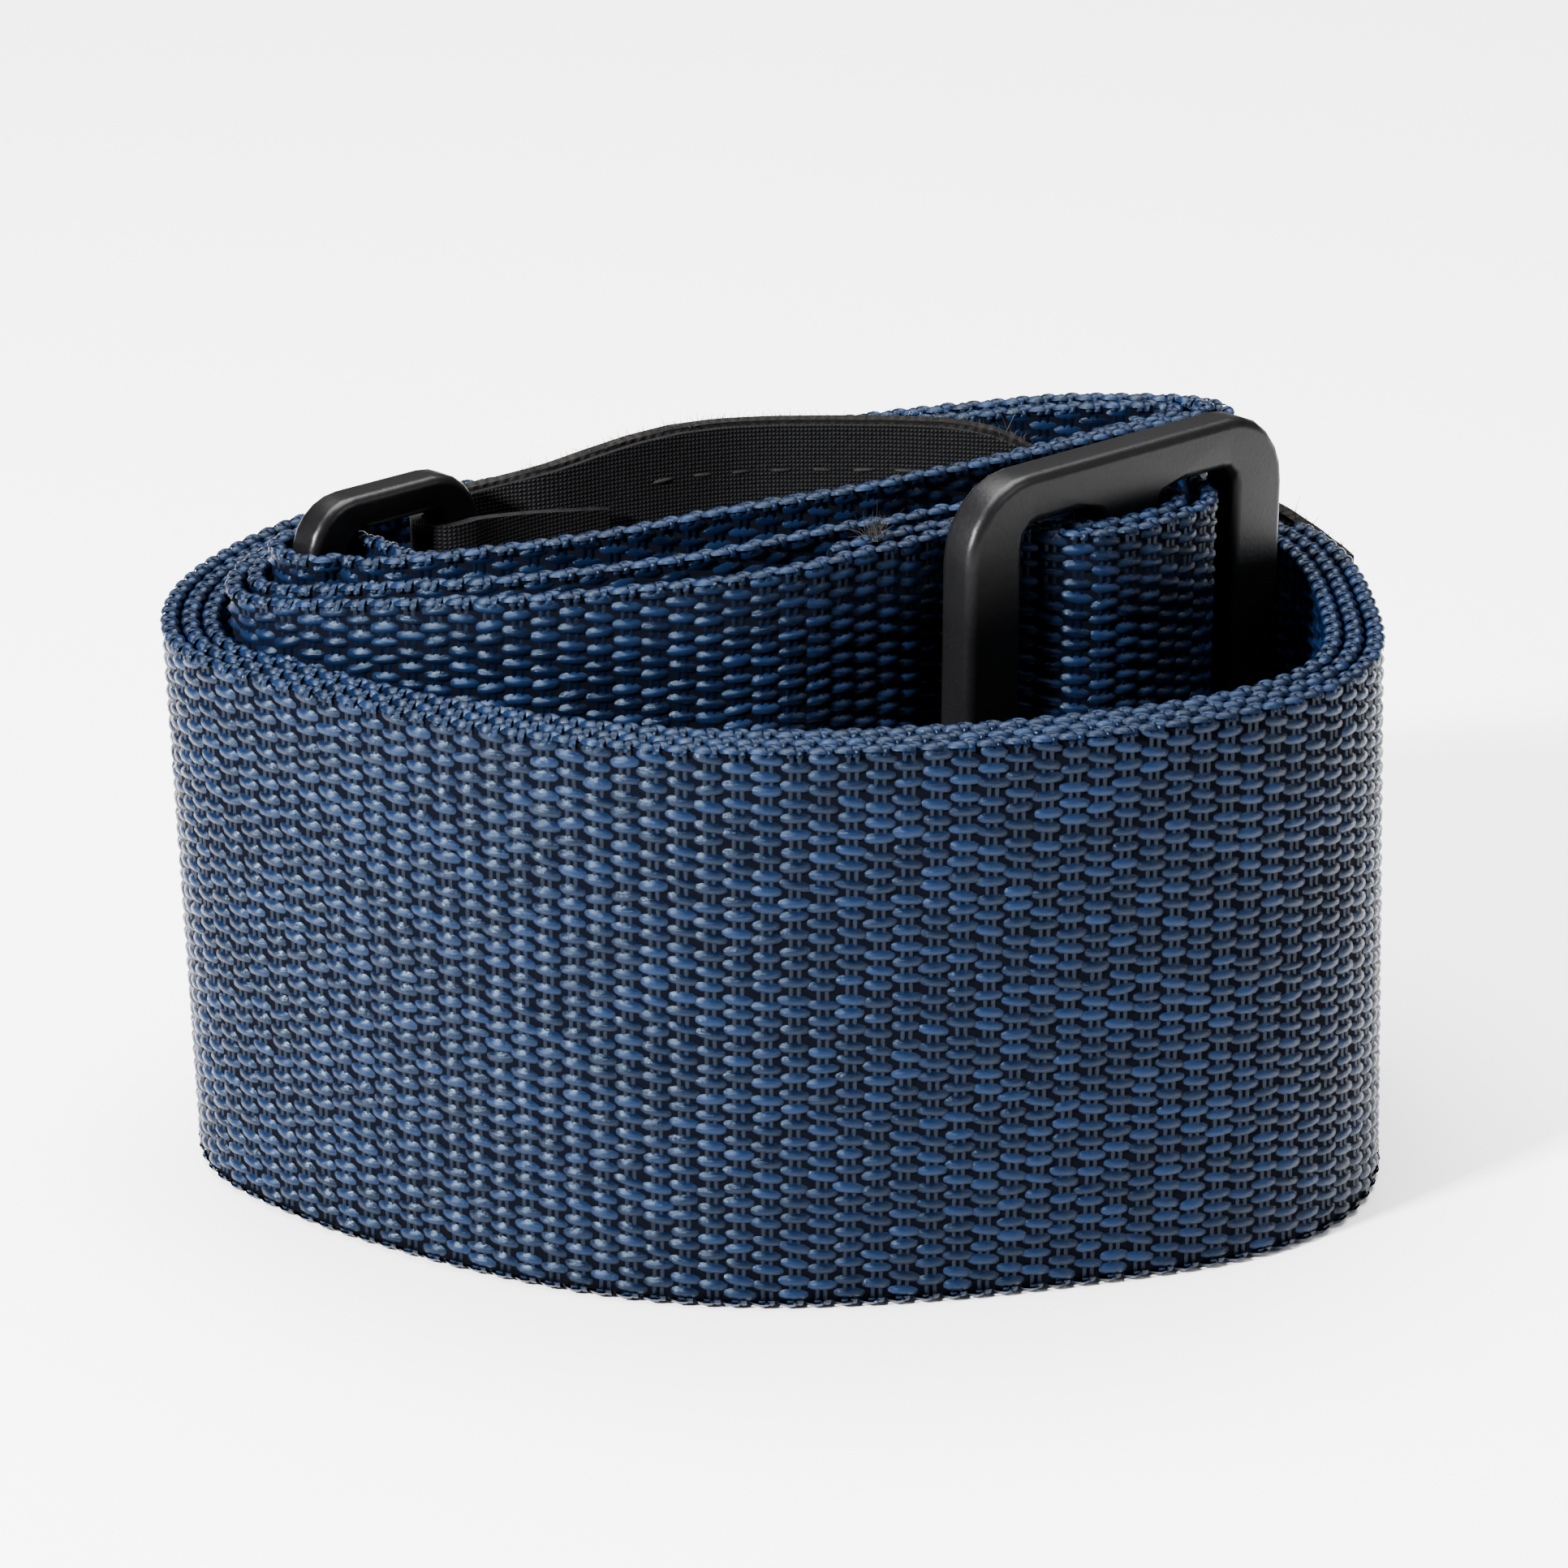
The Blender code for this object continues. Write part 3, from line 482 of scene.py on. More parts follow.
FINE, ENDS = webbing_chain()
FINE = np.column_stack([FINE[:, 0] - CENTRE[0], FINE[:, 1] - CENTRE[1], FINE[:, 2]])
ALONG = np.concatenate([[0], np.cumsum(np.linalg.norm(np.diff(FINE[:, :2], axis=0), axis=1))])
SIDE = softened(sideways(FINE), 3)
SIDE /= np.linalg.norm(SIDE, axis=1)[:, None]
NAMES = list(ENDS)
STARTS = {n: (ALONG[ENDS[NAMES[i - 1]]] if i else 0.0) for i, n in enumerate(NAMES)}
STOPS = {n: ALONG[ENDS[n]] for n in NAMES}
ROLL_FROM = STOPS["webbing_leaving_run"]


def on_web(s, out, down):
    """World points: `s` along the strap, `out` to its left, `down` from its top edge."""
    x, y, top = (np.interp(s, ALONG, FINE[:, k]) for k in range(3))
    nx, ny = (np.interp(s, ALONG, SIDE[:, k]) for k in (0, 1))
    out = out + lean_at(s) * down / WEB_WIDTH
    return np.stack([x + nx * out, y + ny * out, top - down], axis=-1)


def ease(value, low, high):
    t = np.clip((value - low) / (high - low), 0, 1)
    return t * t * (3 - 2 * t)


def lean_at(s):
    """How far the foot stands to the strap's left: the roll spreads at the right and draws in at the left."""
    x, y = (np.interp(s, ALONG, FINE[:, k]) for k in (0, 1))
    right = ease(x, 24, 50) * ease(-y, -12, 0) * ease(s, ROLL_FROM - 20, ROLL_FROM + 20)
    return 0.9 * ease(-x, 36, 50) - 2.0 * right


# ---------------------------------------------------------------- meshes

def mesh_object(name, verts, faces, mat, yarn, smooth_shade=True):
    """An object from points in millimetres, an array of quads, and each point's yarn values."""
    mesh = bpy.data.meshes.new(name)
    verts = np.asarray(verts, float).reshape(-1, 3) * MM
    faces = np.asarray(faces, int)
    mesh.vertices.add(len(verts))
    mesh.vertices.foreach_set("co", verts.ravel())
    count, size = faces.shape
    mesh.loops.add(count * size)
    mesh.loops.foreach_set("vertex_index", faces.ravel().astype(np.int32))
    mesh.polygons.add(count)
    mesh.polygons.foreach_set("loop_start", np.arange(0, count * size, size, dtype=np.int32))
    mesh.update(calc_edges=True)
    layer = mesh.attributes.new("yarn", "FLOAT_VECTOR", "POINT")
    layer.data.foreach_set("vector", np.asarray(yarn, np.float32).ravel())
    if smooth_shade:
        mesh.shade_smooth()
    mesh.materials.append(mat)
    ob = bpy.data.objects.new(name, mesh)
    bpy.context.scene.collection.objects.link(ob)
    return ob


def yarn_values(*parts):
    """The yarn attribute of every point: along, across and shade, in one array."""
    return np.stack(np.broadcast_arrays(*parts), axis=-1).reshape(-1, 3)


def grid_faces(items, nu, nv, flip=False):
    """Quads of `items` grids of nu x nv points, one after another."""
    i, j = np.meshgrid(np.arange(nu - 1), np.arange(nv - 1), indexing="ij")
    a = (i * nv + j).ravel()
    quad = np.stack([a, a + nv, a + nv + 1, a + 1], axis=1)
    if flip:
        quad = quad[:, ::-1]
    return (quad[None] + (np.arange(items) * nu * nv)[:, None, None]).reshape(-1, 4)


def columns_in(s0, s1):
    first = int(math.ceil(s0 / COLUMN - 0.5))
    last = int(math.floor(s1 / COLUMN - 0.5 - 1e-9))
    return np.arange(first, last + 1)


def float_rows(column, side, top_only, depth):
    """Distances from the top edge of the floats that one column shows on one face."""
    fractions = ENDS_A if (column + (side < 0)) % 2 == 0 else ENDS_B
    base = np.arange(-1, 13) * END_REPEAT
    rows = (base[:, None] + np.array(fractions)[None, :] * END_REPEAT).ravel() + 0.55
    rows = rows[(rows > 0.8) & (rows < WEB_WIDTH - 0.8)]
    if top_only:
        rows = rows[(rows < depth) | (rows > WEB_WIDTH - 0.45 * depth)]
    return rows


def floats(name, spans, mat, nu=7, nv=5):
    """Warp floats. spans: (start, stop, side, top_only, depth) along the strap."""
    centre, rows, sides = [], [], []
    for s0, s1, side, top_only, depth in spans:
        for c in columns_in(s0, s1):
            r = float_rows(c, side, top_only, depth)
            centre.append(np.full(len(r), (c + 0.5) * COLUMN))
            rows.append(r)
            sides.append(np.full(len(r), side))
    centre, rows, sides = (np.concatenate(v) for v in (centre, rows, sides))
    n = len(centre)
    rng = np.random.default_rng(11 + n)
    u = np.sin(np.linspace(-1, 1, nu) * math.pi / 2)[None, :, None]
    w = np.linspace(-1, 1, nv)[None, None, :]
    centre = centre + rng.normal(0, 0.05, n)
    rows = rows + rng.normal(0, 0.045, n)
    long = FLOAT_LONG * (1 + rng.normal(0, 0.05, n))[:, None, None] / 2
    wide = FLOAT_WIDE * (1 + rng.normal(0, 0.06, n))[:, None, None] / 2
    tilt = rng.normal(0.06, 0.07, n)[:, None, None]
    s = centre[:, None, None] + u * long + 0 * w
    plump = np.sqrt(np.clip(1 - 0.62 * u ** 2, 0, 1))
    down = rows[:, None, None] + w * wide * plump + tilt * u * long
    rise = (1 - np.abs(u) ** 2.6) * np.sqrt(np.clip(1 - 0.94 * w ** 2, 0, 1))
    low = CORE_HALF - 0.22
    high = CROWN * (1 + rng.normal(0, 0.02, n))[:, None, None]
    out = low + (high - low) * rise
    points = on_web(s, out * sides[:, None, None], down)
    shade = rng.random(n)[:, None, None]
    yarn = yarn_values(u + 0 * w + shade * 9, w + 0 * u + shade * 31, shade)
    faces = grid_faces(n, nu, nv)
    per = (nu - 1) * (nv - 1)
    turned = np.repeat(sides > 0, per)
    faces[turned] = faces[turned][:, ::-1]
    return mesh_object(name, points, faces, mat, yarn)


def picks(name, spans, mat, nv=3, steps=26):
    """Weft picks: two fine cords across the strap in every column, seen between the floats."""
    centre, sides, tops, ends = [], [], [], []
    for s0, s1, side, top_only, depth in spans:
        for c in columns_in(s0, s1):
            for k in (-0.33, 0.33):
                centre.append((c + 0.5) * COLUMN + k)
                sides.append(side)
                tops.append(PICK_INSET)
                ends.append(depth if top_only else WEB_WIDTH - PICK_INSET)
    centre, sides, tops, ends = (np.array(v, float) for v in (centre, sides, tops, ends))
    n = len(centre)
    rng = np.random.default_rng(5 + n)
    u = np.linspace(0, 1, steps)[None, :, None]
    w = np.linspace(-1, 1, nv)[None, None, :]
    down = tops[:, None, None] + (ends - tops)[:, None, None] * u + 0 * w
    s = centre[:, None, None] + w * 0.21 + 0.05 * np.sin(down * 3.1 + centre[:, None, None])
    out = CORE_HALF - 0.1 + 0.24 * np.sqrt(np.clip(1 - 0.9 * w ** 2, 0, 1)) + 0 * u
    points = on_web(s, out * sides[:, None, None], down)
    shade = (0.55 * rng.random(n))[:, None, None]
    yarn = yarn_values(down * 0.9, w + shade * 31 + 0 * u, shade)
    faces = grid_faces(n, steps, nv)
    turned = np.repeat(sides < 0, (steps - 1) * (nv - 1))
    faces[turned] = faces[turned][:, ::-1]
    return mesh_object(name, points, faces, mat, yarn)


def selvedge(name, s0, s1, mat, bottom=False, nu=7, nv=6):
    """The edge: short warp floats in a rope-like chain and, over it, the weft's turning loops."""
    cols = columns_in(s0, s1)
    rng = np.random.default_rng(17 + len(cols) + bottom)

    def place(s, out, up):
        down = (WEB_WIDTH - up) if bottom else up
        return on_web(s, out, down)

    n = len(cols) * 2
    centre = np.repeat((cols + 0.5) * COLUMN, 2) + np.tile([-0.25 * COLUMN, 0.25 * COLUMN], len(cols))
    lane = np.tile([-0.3, 0.3], len(cols))
    centre = centre + rng.normal(0, 0.06, n)
    u = np.sin(np.linspace(-1, 1, nu) * math.pi / 2)[None, :, None]
    t = np.linspace(-1.15, 1.15, nv)[None, None, :]
    s = centre[:, None, None] + u * 0.86 + 0 * t
    plump = np.sqrt(np.clip(1 - 0.9 * u ** 2, 0, 1))
    reach = 0.52 * plump
    slant = 1 - 0.55 * u * np.sign(lane)[:, None, None]
    out = lane[:, None, None] * slant + np.sin(t * 1.2) * reach
    height = EDGE_DROP + 0.02 * rng.normal(0, 1, n)[:, None, None]
    up = EDGE_DROP - height * plump * np.cos(t * 1.2) * 0.96
    beads = place(s, out, up)
    shade = rng.random(n)[:, None, None]
    bead_yarn = yarn_values(u + shade * 9 + 0 * t, t + shade * 31 + 0 * u, shade)
    bead_faces = grid_faces(n, nu, nv, flip=not bottom)

    # turning loops
    centre = np.repeat((cols + 0.5) * COLUMN, 2) + np.tile([-0.36, 0.36], len(cols))
    nu2, nv2 = 9, 4
    a = np.linspace(-math.pi / 2, math.pi / 2, nu2)[None, :, None]
    w = np.linspace(-1, 1, nv2)[None, None, :]
    lift = 0.1 * np.sqrt(np.clip(1 - 0.9 * w ** 2, 0, 1))
    s = centre[:, None, None] + w * 0.27 + rng.normal(0, 0.05, n)[:, None, None] + 0 * a
    out = np.sin(a) * (0.66 + lift)
    up = EDGE_DROP + 0.25 - np.cos(a) * (EDGE_DROP + 0.12 + lift)
    loops = place(s, out, up)
    shade = (0.6 * rng.random(n))[:, None, None]
    loop_yarn = yarn_values(a * 1.5 + 0 * w, w + shade * 31 + 0 * a, shade)
    loop_faces = grid_faces(n, nu2, nv2, flip=bottom) + n * nu * nv
    verts = np.concatenate([beads.reshape(-1, 3), loops.reshape(-1, 3)])
    faces = np.concatenate([bead_faces, loop_faces])
    return mesh_object(name, verts, faces, mat, np.concatenate([bead_yarn, loop_yarn]))


def shade_core(name, s0, s1, mat, step=0.6, rows=6):
    """A closed strip just below the yarns, coloured near-black: painted shade seen in the gaps between the
    floats.
    """
    count = int((s1 - s0) / step) + 1
    s = np.linspace(s0, s1, count)
    drops = [EDGE_DROP + (WEB_WIDTH - 2 * EDGE_DROP) * k / rows for k in range(rows + 1)]
    out = np.array([CORE_HALF] * (rows + 1) + [-CORE_HALF] * (rows + 1))
    down = np.array(drops + drops[::-1])
    points = on_web(s[:, None] + 0 * out[None], out[None] + 0 * s[:, None], down[None] + 0 * s[:, None])
    m = len(out)
    quads = []
    i = np.arange(count - 1)
    for j in range(m):
        k = (j + 1) % m
        quads.append(np.stack([i * m + j, (i + 1) * m + j, (i + 1) * m + k, i * m + k], axis=1))
    quads = np.concatenate(quads)
    caps = []
    for base in (0, (count - 1) * m):
        for k in range(rows):
            q = [base + k, base + k + 1, base + m - 2 - k, base + m - 1 - k]
            caps.append(q if base == 0 else q[::-1])
    quads = np.concatenate([quads, np.array(caps)])
    yarn = yarn_values(s[:, None], down[None], 0.0)
    ob = mesh_object(name, points, quads, mat, yarn, smooth_shade=False)
    fix_normals(ob)
    return ob


def fix_normals(ob):
    bm = bmesh.new()
    bm.from_mesh(ob.data)
    bmesh.ops.recalc_face_normals(bm, faces=bm.faces)
    if bm.calc_volume(signed=True) < 0:
        bmesh.ops.reverse_faces(bm, faces=bm.faces)
    bm.to_mesh(ob.data)
    bm.free()


# side +1 is the strap's left: the inside of the roll's turns
COVER = {
    "webbing_tail_loop": ("full", "full"), "webbing_standing_ply": ("rim", "full"),
    "webbing_inner_left_bend": ("rim", "full"), "webbing_inner_back_run": ("rim", "full"),
    "webbing_inner_right_bend": ("rim", "full"), "webbing_inner_front_run": ("rim", "full"),
    "webbing_loop_turn": ("full", "full"), "webbing_outer_front_run": ("rim", "full"),
    "webbing_outer_right_bend": ("rim", "rim"), "webbing_outer_back_run": ("rim", "rim"),
    "webbing_outer_left_bend": ("rim", "rim"), "webbing_adjusting_ply": ("rim", "fine"),
    "webbing_over_slider": ("rim", "fine"), "webbing_leaving_bend": ("rim", "full"),
    "webbing_leaving_run": ("rim", "full"), "webbing_turn_1_left_front": ("full", "rim"),
    "webbing_turn_1_right_back": ("full", "rim"), "webbing_turn_2_left_front": ("full", "rim"),
    "webbing_turn_2_right_back": ("rim", "rim")}
RIM_DEPTH = 13.0


def cover_spans(names, kind):
    spans = []
    for n in names:
        left, right = COVER.get(n, ("rim", "fine"))
        for side, mode in ((1, left), (-1, right)):
            if mode == kind:
                spans.append((STARTS[n], STOPS[n], side, kind == "rim", RIM_DEPTH))
    return spans


def chunks(spans, limit):
    """Groups of spans whose total length stays under `limit`."""
    group, total, out = [], 0.0, []
    for span in spans:
        length = span[1] - span[0]
        if group and total + length > limit:
            out.append(group)
            group, total = [], 0.0
        group.append(span)
        total += length
    return out + [group] if group else out


def make_webbing(names, tag, s_from, s_to, mats):
    """The strap between two of its cuts: its core, floats, picks and both selvedges."""
    pieces = []
    sheet = shade_core("web_shade_core_" + tag, s_from, s_to, mats["shade_core"])
    for kind, limit, nu, nv in (("fine", 190.0, 7, 5), ("full", 420.0, 5, 3), ("rim", 1500.0, 5, 3)):
        for i, group in enumerate(chunks(cover_spans(names, kind), limit)):
            label = "%s_%s_%d" % (tag, kind, i + 1)
            pieces.append(floats("web_floats_" + label, group, mats["yarn"], nu, nv))
            if kind != "rim":
                pieces.append(picks("web_picks_" + label, group, mats["shaded_pick"], steps=20))
    pieces.append(selvedge("web_top_edge_" + tag, s_from, s_to, mats["yarn"]))
    pieces.append(selvedge("web_low_edge_" + tag, s_from, s_to, mats["yarn"], True, nu=5, nv=4))
    return sheet, pieces


# ---------------------------------------------------------------- tabs

def bent_sheet(name, outline, holes, path, middle, y0, y1, mat, wave=0.0, grid=1.3):
    """A cut sheet bent along a plan path, with a slightly uneven surface."""
    bm = flat_solid(outline, holes, y0, y1)
    xs = [x for x, _ in outline]
    zs = [z for _, z in outline]
    for start, end, axis in ((min(xs), max(xs), 0), (min(zs), max(zs), 2)):
        for v in np.arange(start + grid, end - 0.2, grid):
            co, no = [0, 0, 0], [0, 0, 0]
            co[axis], no[axis] = v, 1
            geom = bm.verts[:] + bm.edges[:] + bm.faces[:]
            bmesh.ops.bisect_plane(bm, geom=geom, dist=1e-5, plane_co=co, plane_no=no)
    flat = [tuple(v.co) for v in bm.verts]
    for v in bm.verts:
        x, y, z = v.co
        broad = math.sin(x * 0.55 + 1.1) * math.cos(z * 0.38)
        v.co.y += wave * (broad + 0.5 * math.sin(x * 1.3 + z * 0.9))
    bend(bm, path, middle)
    bmesh.ops.recalc_face_normals(bm, faces=bm.faces)
    if bm.calc_volume(signed=True) < 0:
        bmesh.ops.reverse_faces(bm, faces=bm.faces)
    for v in bm.verts:
        v.co = (v.co - Vector((*CENTRE, 0))) * MM
    mesh = bpy.data.meshes.new(name)
    bm.to_mesh(mesh)
    bm.free()
    layer = mesh.attributes.new("flat", "FLOAT_VECTOR", "POINT")
    layer.data.foreach_set("vector", np.array([(x, z, y) for x, y, z in flat], np.float32).ravel())
    mesh.materials.append(mat)
    mesh.shade_smooth()
    mesh.set_sharp_from_angle(angle=math.radians(45))
    ob = bpy.data.objects.new(name, mesh)
    bpy.context.scene.collection.objects.link(ob)
    return ob


def on_tab(path, middle, x, y, z):
    """World points of flat tab coordinates."""
    along = np.concatenate([[0], np.cumsum(np.linalg.norm(np.diff(path[:, :2], axis=0), axis=1))])
    side = sideways(path)
    px, py = (np.interp(x, along, path[:, k]) for k in (0, 1))
    sx, sy = (np.interp(x, along, side[:, k]) for k in (0, 1))
    mid = np.vectorize(middle)(x)
    return np.stack([px + sx * y - CENTRE[0], py + sy * y - CENTRE[1], mid + z], axis=-1)


def walk(outline, pitch, closed=False):
    """Points and directions every `pitch` along an outline."""
    pts = np.array(outline + outline[:1] if closed else outline, float)
    along = np.concatenate([[0], np.cumsum(np.linalg.norm(np.diff(pts, axis=0), axis=1))])
    want = np.arange(pitch / 2, along[-1], pitch)
    p = np.column_stack([np.interp(want, along, pts[:, k]) for k in (0, 1)])
    ahead = np.minimum(want + 0.3, along[-1])
    q = np.column_stack([np.interp(ahead, along, pts[:, k]) for k in (0, 1)])
    d = q - p
    d /= np.maximum(np.linalg.norm(d, axis=1), 1e-9)[:, None]
    return p, d


def seam_row(x, low, high):
    """Places and directions of a straight row of stitches across a tab."""
    zs = np.arange(low, high, SEAM_PITCH)
    return np.column_stack([np.full(len(zs), x), zs]), np.tile([0.0, 1.0], (len(zs), 1))


def stitches(name, path, middle, places, dirs, face, out, mat, long=2.5, wide=0.62):
    """Lock stitches: short twisted threads, sunk at both ends, on the tab's `out` side (+1 or -1)."""
    nu, nv = 9, 7
    n = len(places)
    rng = np.random.default_rng(n + 3)
    u = np.linspace(-1, 1, nu)[None, :, None]
    t = np.linspace(-math.pi / 2, math.pi / 2, nv)[None, None, :]
    turn = rng.normal(0, 0.05, n)
    dx = dirs[:, 0] * np.cos(turn) - dirs[:, 1] * np.sin(turn)
    dz = dirs[:, 0] * np.sin(turn) + dirs[:, 1] * np.cos(turn)
    body = np.sqrt(np.clip(1 - 0.8 * u ** 2, 0, 1)) * (1 + 0.09 * np.cos(u * 14 + t * 2))
    across = np.sin(t) * wide / 2 * body
    lift = np.cos(t) * wide * 0.55 * body - 0.3 * u ** 4 - 0.08
    x = places[:, 0][:, None, None] + dx[:, None, None] * u * long / 2 - dz[:, None, None] * across
    z = places[:, 1][:, None, None] + dz[:, None, None] * u * long / 2 + dx[:, None, None] * across
    y = face + out * lift + 0 * x
    points = on_tab(path, middle, x, y, z)
    shade = rng.random(n)[:, None, None]
    yarn = yarn_values(u * 1.2 + t + shade * 9, t * 0.8 - u * 1.5 + shade * 31, shade)
    return mesh_object(name, points, grid_faces(n, nu, nv, flip=out > 0), mat, yarn)


def fibres(name, roots, ways, mat, lengths, thick=0.035, curl=0.5, seed=3):
    """Loose fibres: thin three-sided threads that leave `roots` along `ways` and curl."""
    rng = np.random.default_rng(seed)
    n, steps = len(roots), 5
    t = np.linspace(0, 1, steps)[None, :, None]
    ways = ways / np.maximum(np.linalg.norm(ways, axis=1), 1e-9)[:, None]
    bend_way = rng.normal(0, 1, (n, 3))
    course = t * ways[:, None] + curl * t ** 2 * bend_way[:, None] * 0.45
    spine = roots[:, None] + lengths[:, None, None] * course
    ref = np.cross(ways, rng.normal(0, 1, (n, 3)))
    ref /= np.maximum(np.linalg.norm(ref, axis=1), 1e-9)[:, None]
    other = np.cross(ways, ref)
    ring = np.array([[1, 0], [-0.5, 0.87], [-0.5, -0.87]])
    radius = thick * (1 - 0.7 * t)[..., None]
    around = ring[:, :1] * ref[:, None, None] + ring[:, 1:] * other[:, None, None]
    pts = spine[:, :, None] + radius * around
    pts[..., 2] = np.maximum(pts[..., 2], FLOOR_GAP)
    faces = []
    for i in range(steps - 1):
        for j in range(3):
            k = (j + 1) % 3
            faces.append([i * 3 + j, i * 3 + k, (i + 1) * 3 + k, (i + 1) * 3 + j])
    faces = (np.array(faces)[None] + (np.arange(n) * steps * 3)[:, None, None]).reshape(-1, 4)
    yarn = np.zeros((n, steps, 3, 3))
    yarn[..., 2] = rng.random(n)[:, None, None]
    return mesh_object(name, pts, faces, mat, yarn.reshape(-1, 3))


def rim_fuzz(name, path, middle, outline, y_low, y_high, mat, per_mm=5.0, seed=9):
    """The felt-like cut edge of split leather."""
    rng = np.random.default_rng(seed)
    places, dirs = walk(outline, 1.0 / per_mm)
    n = len(places)
    places = places + rng.normal(0, 0.1, places.shape)
    y = y_low + (y_high - y_low) * rng.random(n)
    normal = np.column_stack([-dirs[:, 1], dirs[:, 0]])
    middle_point = np.mean(np.array(outline), axis=0)
    outward = np.sign(np.sum(normal * (places - middle_point), axis=1))[:, None]
    normal = normal * outward
    rooted = places - normal * 0.15
    roots = on_tab(path, middle, rooted[:, 0], y, rooted[:, 1])
    ahead = on_tab(path, middle, places[:, 0] + normal[:, 0] * 0.4, y + rng.normal(0, 0.3, n),
                   places[:, 1] + normal[:, 1] * 0.4)
    ways = ahead - roots + rng.normal(0, 0.25, (n, 3))
    lengths = 0.5 + 0.45 * rng.random(n) + 2.6 * (rng.random(n) > 0.985)
    return fibres(name, roots, ways, mat, lengths, 0.045, 0.6, seed)


def inner_tab_flap():
    """Plan path of the folded flap."""
    bar = LOOP_LENGTH - LOOP_BAR
    off = LOOP_THICK / 2 + 0.4 + FLAP_THICK / 2
    reach = 0.4 + FLAP_THICK / 2
    route = [(LOOP_LENGTH - 1.0, off), (bar + 1.6, off), (bar - reach + 0.2, off * 0.66),
             (bar - reach, 0), (bar - reach + 0.2, -off * 0.66), (bar + 1.6, -off),
             (LOOP_LENGTH - 0.4, -off)]
    plan = [(*frame_point(LOOP_AT, LOOP_TURN, a, b), 0) for a, b in route]
    plan += [(-22.3, 0.0, 0), (-20.0, 1.6, 0), (-17.2, 3.1, 0), (-13.6, 5.0, 0)]
    return smooth(plan, 0.6)


def make_inner_tab(mats):
    path = smooth(INNER_TAB, 1.0)
    back = LEATHER / 2
    hole = button_slot()
    leather = bent_sheet("inner_tab_leather", tab_outline(), [hole], path, inner_tab_middle,
                         back - LEATHER, back, mats["suede"], 0.05)
    front = back - LEATHER - FIT
    lining = bent_sheet("inner_tab_lining", tab_outline(0.35, 0.6), [hole], path, inner_tab_middle,
                        front - LINING, front, mats["lining"], 0.04)
    row = tab_outline(STITCH_INSET, FLAP_LENGTH - 4)
    places, dirs = walk(row, STITCH_PITCH)
    sewn = stitches("inner_tab_stitches", path, inner_tab_middle, places, dirs, front - LINING, -1,
                    mats["thread"], 2.5, 0.42)
    fuzz = rim_fuzz("inner_tab_fuzz", path, inner_tab_middle, tab_outline(0.0, 6.0),
                    back - LEATHER, back, mats["fuzz"])
    fold = inner_tab_flap()
    length = float(np.sum(np.linalg.norm(np.diff(fold[:, :2], axis=0), axis=1)))
    half = TAB_HALF_NECK - 0.3

    def rise(x):
        return LOOP_TOP - LOOP_HEIGHT / 2 + 1.6 * min(1.0, max(0.0, (x - 8) / 20))

    round_bar, end = length - 20.0, length - 0.3
    outline = [(0, -half), (round_bar + 5, -half), (end, -half + 7), (end, half - 2.5),
               (round_bar + 6, half), (0, half)]
    flap = bent_sheet("inner_tab_flap", outline, [], fold, rise, -FLAP_THICK / 2, FLAP_THICK / 2,
                      mats["lining"], 0.0, 0.9)
    places, dirs = seam_row(length - 6.6, -17.0, 21.0)
    seam = stitches("inner_tab_flap_stitches", fold, rise, places, dirs, -FLAP_THICK / 2, -1,
                    mats["thread_dark"])
    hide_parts("tab_leather")
    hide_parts("tab_lining")
    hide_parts("tab_stitching")
    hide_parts("tab_flap")
    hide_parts("tab_flap_seam")
    for ob in (leather, lining, sewn, fuzz, flap, seam):
        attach(ob, "tab")


def make_end_tab(mats):
    outside = -LEATHER / 2 - 2 * FIT
    path = end_tab_path(outside)

    def middle(x):
        return END_TAB_MIDDLE

    hole = button_slot()
    leather = bent_sheet("end_tab_leather_sheet", tab_outline(slim=END_TAB_SLIM), [hole], path, middle,
                         -LEATHER / 2, LEATHER / 2, mats["suede"], 0.05)
    inside = LEATHER / 2 + 2 * FIT
    shape = tab_outline(0.4, END_LINING_FROM, END_TAB_SLIM)
    lining = bent_sheet("end_tab_lining_sheet", shape, [hole], path, middle, inside, inside + LINING,
                        mats["lining"], 0.02)
    face = -LEATHER / 2
    places, dirs = walk(tab_outline(STITCH_INSET, 1.0, END_TAB_SLIM), STITCH_PITCH)
    sewn = stitches("end_tab_stitches", path, middle, places, dirs, face, -1, mats["thread"])
    places, dirs = seam_row(9.3, -18.0, 18.5)
    seam = stitches("end_tab_seam_stitches", path, middle, places, dirs, face, -1,
                    mats["thread_dark"])
    fuzz = rim_fuzz("end_tab_fuzz", path, middle, tab_outline(0.0, 0.0, END_TAB_SLIM),
                    -LEATHER / 2, LEATHER / 2, mats["fuzz"], seed=21)
    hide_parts("end_tab_leather")
    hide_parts("end_tab_lining")
    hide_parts("end_tab_stitching")
    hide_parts("end_tab_seam")
    for ob in (leather, lining, sewn, seam, fuzz):
        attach(ob, "end")


